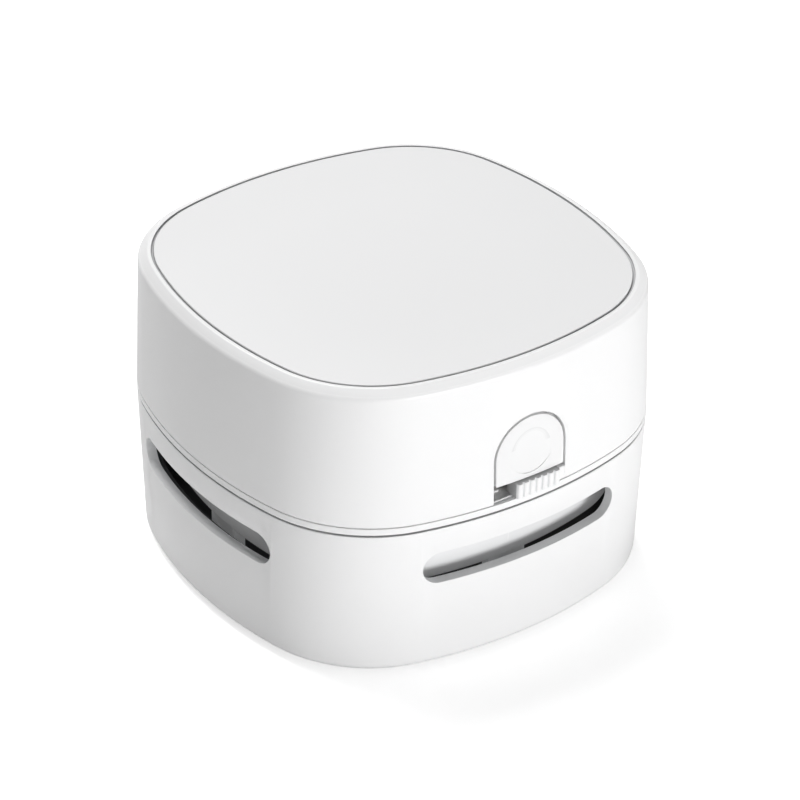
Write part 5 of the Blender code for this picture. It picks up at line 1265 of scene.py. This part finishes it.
def release_button():
    """The push button: the wall's own curve in an arch shape, with a dish, a flange and two latch legs."""
    back = UPPER_WALL + 0.0006
    slab = [(draft_at(UPPER_BOTTOM), UPPER_BOTTOM), (UPPER_DRAFT, WALL_TOP)]
    slab += [(UPPER_DRAFT + back, WALL_TOP), (back, UPPER_BOTTOM)]
    face = coloured(swept_round("release_button_face", slab), "button")
    outline = gravestone(BUTTON_HALF_WIDTH, BUTTON_BOTTOM, ARCH_CENTRE, 48, 0.0002)
    tool = drawn_out("button_tool", facing_front(outline, -BODY_HALF - TOOL_REACH), (0, 0.0076, 0))
    carve(face, coloured(tool, "button"), "INTERSECT")
    break_edges(face, 0.00020, 3)
    carve(face, coloured(dish_tool(), "button"))
    # Painted shade: the dish's upper wall, where shade falls, is darkened in two rings
    tinted(face, "dish_slope", in_dish_ring(0.74, 0.87))
    tinted(face, "dish", in_dish_ring(0.87, 1.0))

    behind, thickness = UPPER_WALL + SEAT_GAP, 0.0013
    slope = behind + UPPER_DRAFT
    band = [(behind, UPPER_BOTTOM), (slope, WALL_TOP)]
    band += [(slope + thickness, WALL_TOP), (behind + thickness, UPPER_BOTTOM)]
    flange = swept_round("button_flange", band)
    low = (-0.0124, -BODY_HALF - TOOL_REACH, BUTTON_BOTTOM + 0.0010)
    high = (0.0124, -0.0340, ARCH_CENTRE + ARCH_HALF_WIDTH + 0.0016)
    carve(flange, block("flange_tool", low, high, 0.0008), "INTERSECT")
    break_edges(flange, 0.00015)
    parts = [flange]
    foot, top = 0.02626, BUTTON_BOTTOM + 0.0010 + 0.0050
    leg = [
        (-0.03798, foot), (-0.03878, foot), (-0.03948, foot + 0.0003), (-0.03948, 0.02746),
        (-0.03908, 0.02746), (-0.03908, top), (-0.03798, top),
    ]
    pin = [(0, 0), (0.0009, 0), (0.0009, 0.0018), (0.0008, 0.0019), (0, 0.0019)]
    pin_root = -BODY_HALF + draft_at(SPRING_LEVEL) + behind + thickness - ROOT
    for side in (-1, 1):
        made = drawn_out("latch_leg", facing_side(leg, side * 0.0094), (side * 0.0030, 0, 0))
        break_edges(made, 0.00012)
        parts.append(made)
        parts.append(turned("button_pin", pin, plan(side * PIN_PLACE, pin_root, SPRING_LEVEL), 24, "Y"))
    weld(face, *[coloured(part, "button") for part in parts])
    fitted(face, "latch_button", "white_plastic", "release_button")


def in_rib_groove(place, facing):
    """Whether a face lies between two ribs of the slider."""
    depth = place.y - BODY_SETBACK - SLIDER_FRONT
    return facing.y < -0.1 and RIB_DEPTH * 0.30 < depth < RIB_DEPTH * 1.5


def power_slider():
    """The slider's knob: upright ribs that follow its gentle front, and the stem to its switch."""
    pitch = 2 * SLIDER_HALF_WIDTH / SLIDER_RIBS
    low = SLIDER_OFFSET - SLIDER_HALF_WIDTH
    outline = [(low, SLIDER_BACK)]
    for rib in range(SLIDER_RIBS):
        start = low + pitch * rib
        for share, height in RIB_SHAPE:
            outline.append((start + pitch * share, SLIDER_FRONT + RIB_DEPTH * (1 - height)))
    outline.append((low + pitch * SLIDER_RIBS, SLIDER_FRONT + RIB_DEPTH))
    outline.append((SLIDER_OFFSET + SLIDER_HALF_WIDTH, SLIDER_BACK))
    knob = drawn_out("power_slider_knob", flat(outline, SLIDER_BOTTOM), (0, 0, SLIDER_TOP - SLIDER_BOTTOM))
    break_edges(knob, 0.00010, 2, 50)
    coloured(knob, "white_plastic")
    # Painted shade: every face of the knob but its front is greyed
    tinted(knob, "shaded", lambda place, facing: facing.y > -0.3)
    # Painted shade: the grooves between the ribs are greyed
    tinted(knob, "painted_recess_shade", in_rib_groove)
    middle = (SLIDER_BOTTOM + SLIDER_TOP) / 2
    low = (SLIDER_OFFSET - 0.0011, SLIDER_BACK - ROOT, middle - 0.0006)
    stem = block("slider_stem", low, (SLIDER_OFFSET + 0.0011, -0.0372, middle + 0.0006), 0.00015)
    weld(knob, coloured(stem, "white_plastic"))
    fitted(knob, "power_switch", "white_plastic", "power_slider", angle=50)


def switch_guide():
    """The guide behind the knob: a plate with the stem's slot, a slit and a low rail, greyed as painted shade
    for its place deep in the recess.
    """
    front, base = -0.0403, DECK_TOP - 0.0001
    before, behind, joined = front - 0.001, front + 0.002, front + ROOT
    middle = (SLIDER_BOTTOM + SLIDER_TOP) / 2
    low, high = (-0.0083, front, INNER_FLOOR), (0.0083, front + THIN_WALL, SLIDER_TOP)
    plate = coloured(block("switch_guide_plate", low, high, 0.00012), "guide_plastic")
    low = (SLIDER_OFFSET - 0.0054, before, middle - 0.0009)
    slot = block("stem_slot_tool", low, (SLIDER_OFFSET + 0.0014, behind, middle + 0.0009))
    slit = block("slit_tool", (-0.0090, before, 0.03270), (-0.0040, behind, 0.03304))
    # Painted shade: the inner faces of the stem's slot and the slit are black
    carve(plate, coloured(weld(slot, slit), "black_plastic"))
    step = block("guide_step", (-0.0082, front - 0.00020, 0.03310), (-0.0052, joined, 0.03335), 0.00005)
    strip = block("guide_strip", (-0.0076, -0.0424, base), (0.0060, joined, DECK_TOP + 0.00004))
    rail = block("guide_rail", (-0.0076, -0.0418, base), (0.0060, -0.0414, DECK_TOP + 0.0002), 0.00004)
    # The strip under the button takes the grey of painted shade
    weld(plate, coloured(step, "white_plastic"), coloured(strip, "painted_recess_shade"), coloured(rail, "white_plastic"))
    fitted(plate, "upper_half", "guide_plastic", "switch_guide")


def charging_socket():
    """The socket in the rear wall: a drawn steel mouth round a black tongue with its row of contacts."""
    start, end, half = SOCKET_BACK, SOCKET_FRONT, 0.00035
    outline = facing_front(stadium(0.00447, 0.00163, 20), start, SOCKET_LEVEL)
    mouth = drawn_out("charging_socket_mouth", outline, (0, end - start, 0))
    hollow = facing_front(stadium(0.00417, 0.00133, 20), end - 0.0062, SOCKET_LEVEL)
    carve(mouth, drawn_out("socket_tool", hollow, (0, 0.0080, 0)))
    break_edges(mouth, 0.00008)
    coloured(mouth, "steel")
    low, high = (-0.0033, end - 0.0066, SOCKET_LEVEL - half), (0.0033, end - 0.0012, SOCKET_LEVEL + half)
    parts = [coloured(block("socket_tongue", low, high, 0.00012), "black_plastic")]
    for index in range(8):
        x = -0.00275 + 0.00550 * index / 7
        for level in (SOCKET_LEVEL - half, SOCKET_LEVEL + half):
            low = (x - 0.00013, end - 0.0058, level - 0.00003)
            high = (x + 0.00013, end - 0.0016, level + 0.00003)
            parts.append(coloured(block("contact", low, high), "steel"))
    weld(mouth, *parts)
    fitted(mouth, "upper_half", "steel", "charging_socket", angle=50)


def charge_light():
    """The light pipe beside the socket: a frosted rod with a low domed end."""
    end = LIGHT_FRONT - SOCKET_BACK
    profile = [
        (0, 0), (0.00092, 0), (0.0010, 0.0001), (0.0010, end - 0.00022),
        (0.00094, end - 0.0001), (0.0006, end - 0.00002), (0, end),
    ]
    pipe = turned("charge_light_rod", profile, plan(LIGHT_PLACE, SOCKET_BACK, SOCKET_LEVEL), 32, "Y")
    fitted(pipe, "upper_half", "light_pipe", "charge_light", angle=50)


def impeller():
    """The fan's wheel: a hub with a rounded nose, a plate with an eased rim, and swept, thinning blades."""
    profile = [
        (0, 0), (0.0020, 0.0), (0.0030, 0.00015), (0.0041, 0.0007), (0.0045, 0.0013), (0.0045, 0.0040),
        (0.0048, 0.0044), (0.0054, 0.0046), (0.0191, 0.0046), (0.0195, 0.0049), (0.0195, 0.0053),
        (0.0191, 0.0056), (0.0062, 0.0056), (0.0056, 0.0053), (0.0013, 0.0053), (0.0013, 0.0007), (0, 0.0007),
    ]
    wheel = turned("impeller_wheel", profile, plan(0, 0, IMPELLER_BOTTOM), 96)
    blades = []
    for number in range(BLADE_COUNT):
        faces = ([], [])
        for step in range(13):
            share = step / 12
            radius = BLADE_ROOT + (IMPELLER_RADIUS - 0.0004 - BLADE_ROOT) * share
            turn = FULL_TURN * number / BLADE_COUNT - BLADE_SWEEP * share
            lean = (0.00045 - 0.00015 * share) / radius
            for face, angle in zip(faces, (turn - lean, turn + lean)):
                face.append((radius * math.cos(angle), radius * math.sin(angle)))
        outline = flat(faces[0] + faces[1][::-1], IMPELLER_BOTTOM + 0.0010)
        blade = drawn_out("blade", outline, (0, 0, 0.0038))
        break_edges(blade, 0.00010, 2, 50)
        blades.append(blade)
    weld(wheel, *blades)
    fitted(wheel, "fan_rotor", "black_plastic", "impeller", angle=35)


def motor_can():
    """The motor's drawn can: a rounded shoulder, the bearing boss and two threaded holes."""
    wall = MOTOR_RADIUS - 0.0008
    profile = [
        (0.0013, -0.0013), (0.0028, -0.0013), (0.0030, -0.0011), (0.0030, -0.0001), (0.0032, 0.0),
        (0.0112, 0.0), (0.0117, 0.0001), (0.0120, 0.0004), (MOTOR_RADIUS, 0.0009),
        (MOTOR_RADIUS, 0.0119), (0.01212, 0.0121), (0.01146, 0.0121), (wall, 0.0120),
        (wall, 0.0012), (wall - 0.0004, 0.0008), (0.0013, 0.0008), (0.0013, -0.0013),
    ]
    can = turned("motor_can_shell", profile, plan(0, 0, MOTOR_BOTTOM), 72)
    hole = rod(SCREW_BORE, -TOOL_REACH, TOOL_REACH)
    for side in (-1, 1):
        carve(can, turned("thread_tool", hole, plan(side * MOTOR_SCREW_PLACE, 0, MOTOR_BOTTOM), 24))
        low = (-0.0009, side * MOTOR_RADIUS - 0.0002, MOTOR_BOTTOM + 0.0106)
        high = (0.0009, side * MOTOR_RADIUS + 0.0002, MOTOR_BOTTOM + 0.0112)
        carve(can, block("crimp", low, high, 0.00008))
    fitted(can, "upper_half", "steel", "motor_can")


def motor_end_cap():
    """The motor's end cap: a plug and a flange with two vents, and the two terminals with their eyes."""
    top = MOTOR_BOTTOM + MOTOR_HEIGHT
    profile = [
        (0, -0.0015), (0.0108, -0.0015), (0.01109, -0.0013), (0.01109, 0.0003), (0.0120, 0.0003),
        (MOTOR_RADIUS, 0.00045), (MOTOR_RADIUS, 0.00095), (0.0120, 0.0011), (0.0046, 0.0011),
        (0.0042, 0.0008), (0.0018, 0.0008), (0.0016, 0.0004), (0, 0.0004),
    ]
    cap = coloured(turned("motor_end_cap_disc", profile, plan(0, 0, top), 72), "black_plastic")
    for side in (-1, 1):
        vent = [plan(x, y + side * 0.0080, top + 0.0005) for x, y in stadium(0.0030, 0.0008, 12)]
        carve(cap, coloured(drawn_out("vent_tool", vent, (0, 0, 0.002)), "black_plastic"))
    terminals = []
    for x in (-TERMINAL_PLACE, TERMINAL_PLACE):
        low, high = (x - 0.00025, -0.0011, top + 0.0009), (x + 0.00025, 0.0011, top + 0.0023)
        tab = block("terminal", low, high, 0.0001)
        carve(tab, block("eye_tool", (x - 0.001, -0.0004, top + 0.0015), (x + 0.001, 0.0004, top + 0.0019)))
        terminals.append(coloured(tab, "steel"))
    weld(cap, *terminals)
    fitted(cap, "upper_half", "black_plastic", "motor_end_cap")


def battery_pack():
    """The flat cell on edge: a soft wrapped body and the guard board with its two pads at the end."""
    low, high = (-0.0373, -CELL_END, INNER_FLOOR), (-0.0293, CELL_END - 0.0012, INNER_FLOOR + 0.0200)
    cell = coloured(block("battery_cell", low, high, 0.0020, 6), "battery_wrap")
    low, high = (-0.0367, CELL_END - 0.0030, INNER_FLOOR + 0.0015), (-0.0299, CELL_END, INNER_FLOOR + 0.0185)
    parts = [coloured(block("guard_board", low, high, 0.0002), "circuit_board")]
    for level in (0.0040, 0.0110):
        low = (-0.0345, CELL_END - 0.0002, INNER_FLOOR + level)
        high = (-0.0321, CELL_END + 0.00003, INNER_FLOOR + level + 0.0024)
        parts.append(coloured(block("pad", low, high), "steel"))
    weld(cell, *parts)
    fitted(cell, "upper_half", "battery_wrap", "battery_pack")


def board_part(x, z, half_x, half_z, proud, sunk, finish, soft=0.0):
    """A part on the board's face, about a place, standing proud of the face and sunk into it."""
    low, high = (x - half_x, BOARD_FACE - proud, z - half_z), (x + half_x, BOARD_FACE + sunk, z + half_z)
    return coloured(block("board_part", low, high, soft), finish)


def control_board():
    """The board with its two chips on legs, two rows of small parts and a coil."""
    low = (-BOARD_HALF_WIDTH, BOARD_FACE, INNER_FLOOR)
    high = (BOARD_HALF_WIDTH, BOARD_FACE + 0.0012, INNER_FLOOR + 0.0180)
    board = coloured(block("control_board_sheet", low, high, 0.0001), "circuit_board")
    parts = []
    for x in (-0.0070, 0.0070):
        parts.append(board_part(x, SOCKET_LEVEL, 0.0021, 0.0025, 0.0010, -0.0001, "black_plastic", 0.0001))
        for leg in range(4):
            level = SOCKET_LEVEL - 0.0019 + 0.00127 * leg
            parts.append(board_part(x, level, 0.0026, 0.0002, 0.0004, 0.0001, "steel"))
    for row in (0.0348, 0.0382):
        for column in range(7):
            x = -0.0105 + 0.0035 * column
            if row > 0.035 and abs(x) < 0.004:
                continue
            parts.append(board_part(x, row, 0.0008, 0.0004, 0.0004, 0.0001, "steel"))
            parts.append(board_part(x, row, 0.0005, 0.00041, 0.00045, 0, "black_plastic"))
    coil = [(0, -0.0016), (0.0015, -0.0016), (0.0019, -0.0014), (0.0019, 0.0001), (0, 0.0001)]
    parts.append(coloured(turned("coil", coil, plan(0, BOARD_FACE, 0.0392), 32, "Y"), "black_plastic"))
    weld(board, *parts)
    fitted(board, "upper_half", "circuit_board", "control_board")


# Studio


def studio_floor():
    """A plain pale floor that is a little lighter to the camera's eye than its light makes it."""
    pick()
    bpy.ops.mesh.primitive_plane_add(size=6, location=(0, 0, 0))
    floor = bpy.context.active_object
    floor.name = "studio_floor"
    look = Finish("studio_floor_paper", Roughness=0.9)
    look.set("Base Color", look.mix(look.noise(4, 3), (0.85, 0.85, 0.85), (0.87, 0.87, 0.87)))
    camera_ray = look.node("ShaderNodeLightPath", {}, {}, "Is Camera Ray")
    glow = look.node("ShaderNodeEmission", {}, {"Color": (1, 1, 1), "Strength": FLOOR_LIFT}, "Emission")
    dark = look.node("ShaderNodeEmission", {}, {"Color": (0, 0, 0), "Strength": 0.0}, "Emission")
    lift = look.node("ShaderNodeMixShader", {}, {0: camera_ray, 1: dark, 2: glow})
    lit = Signal(look.tree, look.shader.outputs[0])
    total = look.node("ShaderNodeAddShader", {}, {0: lit, 1: lift})
    feed(look.tree, look.tree.nodes["Material Output"].inputs["Surface"], total)
    floor.data.materials.append(look.material)


def surround():
    """White to the camera and in reflections, and a faint light that falls off to the right."""
    world = bpy.data.worlds.new("studio_surround")
    bpy.context.scene.world = world
    world.use_nodes = True
    tree = world.node_tree
    path = tree.nodes.new("ShaderNodeLightPath")
    camera_ray, glossy_ray, through_ray = (
        Signal(tree, path.outputs[name]) for name in ("Is Camera Ray", "Is Glossy Ray", "Is Transmission Ray")
    )
    seen = (camera_ray + glossy_ray + through_ray).over(0.5)
    way = tree.nodes.new("ShaderNodeTexCoord")
    parts = tree.nodes.new("ShaderNodeSeparateXYZ")
    tree.links.new(way.outputs["Generated"], parts.inputs["Vector"])
    across = Signal(tree, parts.outputs["X"])
    rightward = across.calculate("MAXIMUM", across, 0.0)
    soft = (1.0 - rightward * RIGHT_FALL) * AMBIENT
    background = tree.nodes["Background"]
    feed(tree, background.inputs["Strength"], soft + seen * (1.0 - soft))
    background.inputs["Color"].default_value = (1, 1, 1, 1)


def lamps():
    """Soft light from the front and above."""
    for name, place, size, power in LAMPS:
        pick()
        bpy.ops.object.light_add(type="AREA", location=place)
        lamp = bpy.context.active_object
        lamp.name = name
        lamp.data.shape = "RECTANGLE"
        lamp.data.size, lamp.data.size_y = size
        lamp.data.energy = power
        lamp.rotation_euler = (Vector(LAMP_AIM) - Vector(place)).to_track_quat("-Z", "Y").to_euler()


def camera():
    """The photograph's view, from the front left and above."""
    yaw, pitch, roll = (math.radians(angle) for angle in CAMERA_ANGLES)
    back = Vector((-math.sin(yaw) * math.cos(pitch), -math.cos(yaw) * math.cos(pitch), math.sin(pitch)))
    level_right = (-back).cross(Vector((0, 0, 1))).normalized()
    level_up = level_right.cross(-back)
    right = math.cos(roll) * level_right + math.sin(roll) * level_up
    up = -math.sin(roll) * level_right + math.cos(roll) * level_up
    place = Vector((0, BODY_SETBACK, AIM_HEIGHT)) + back * CAMERA_DISTANCE + right * CAMERA_SHIFT
    pick()
    bpy.ops.object.camera_add(location=place)
    view = bpy.context.active_object
    view.name = "product_camera"
    view.matrix_world = Matrix.Translation(place) @ Matrix((right, up, back)).transposed().to_4x4()
    view.data.sensor_width = 36
    view.data.lens = FOCAL_LENGTH
    view.data.clip_start = 0.01
    bpy.context.scene.camera = view


def build():
    """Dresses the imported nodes, makes every piece in its turn, and sets up the studio."""
    dress_packed_nodes()
    lower_half = (lower_shell, base_tray, dust_cup, cup_seal, feet, tray_screws, brush_strips, filter_insert)
    upper_half = (chassis, case_screws, upper_shell, top_panel, release_button, power_slider, switch_guide)
    rear = (charging_socket, charge_light)
    inside = (filter_media, impeller, motor_can, motor_end_cap, battery_pack, control_board)
    for make in (*lower_half, *upper_half, *rear, *inside, studio_floor, surround, lamps, camera):
        make()
    bpy.context.scene.view_settings.view_transform = "Standard"


build()
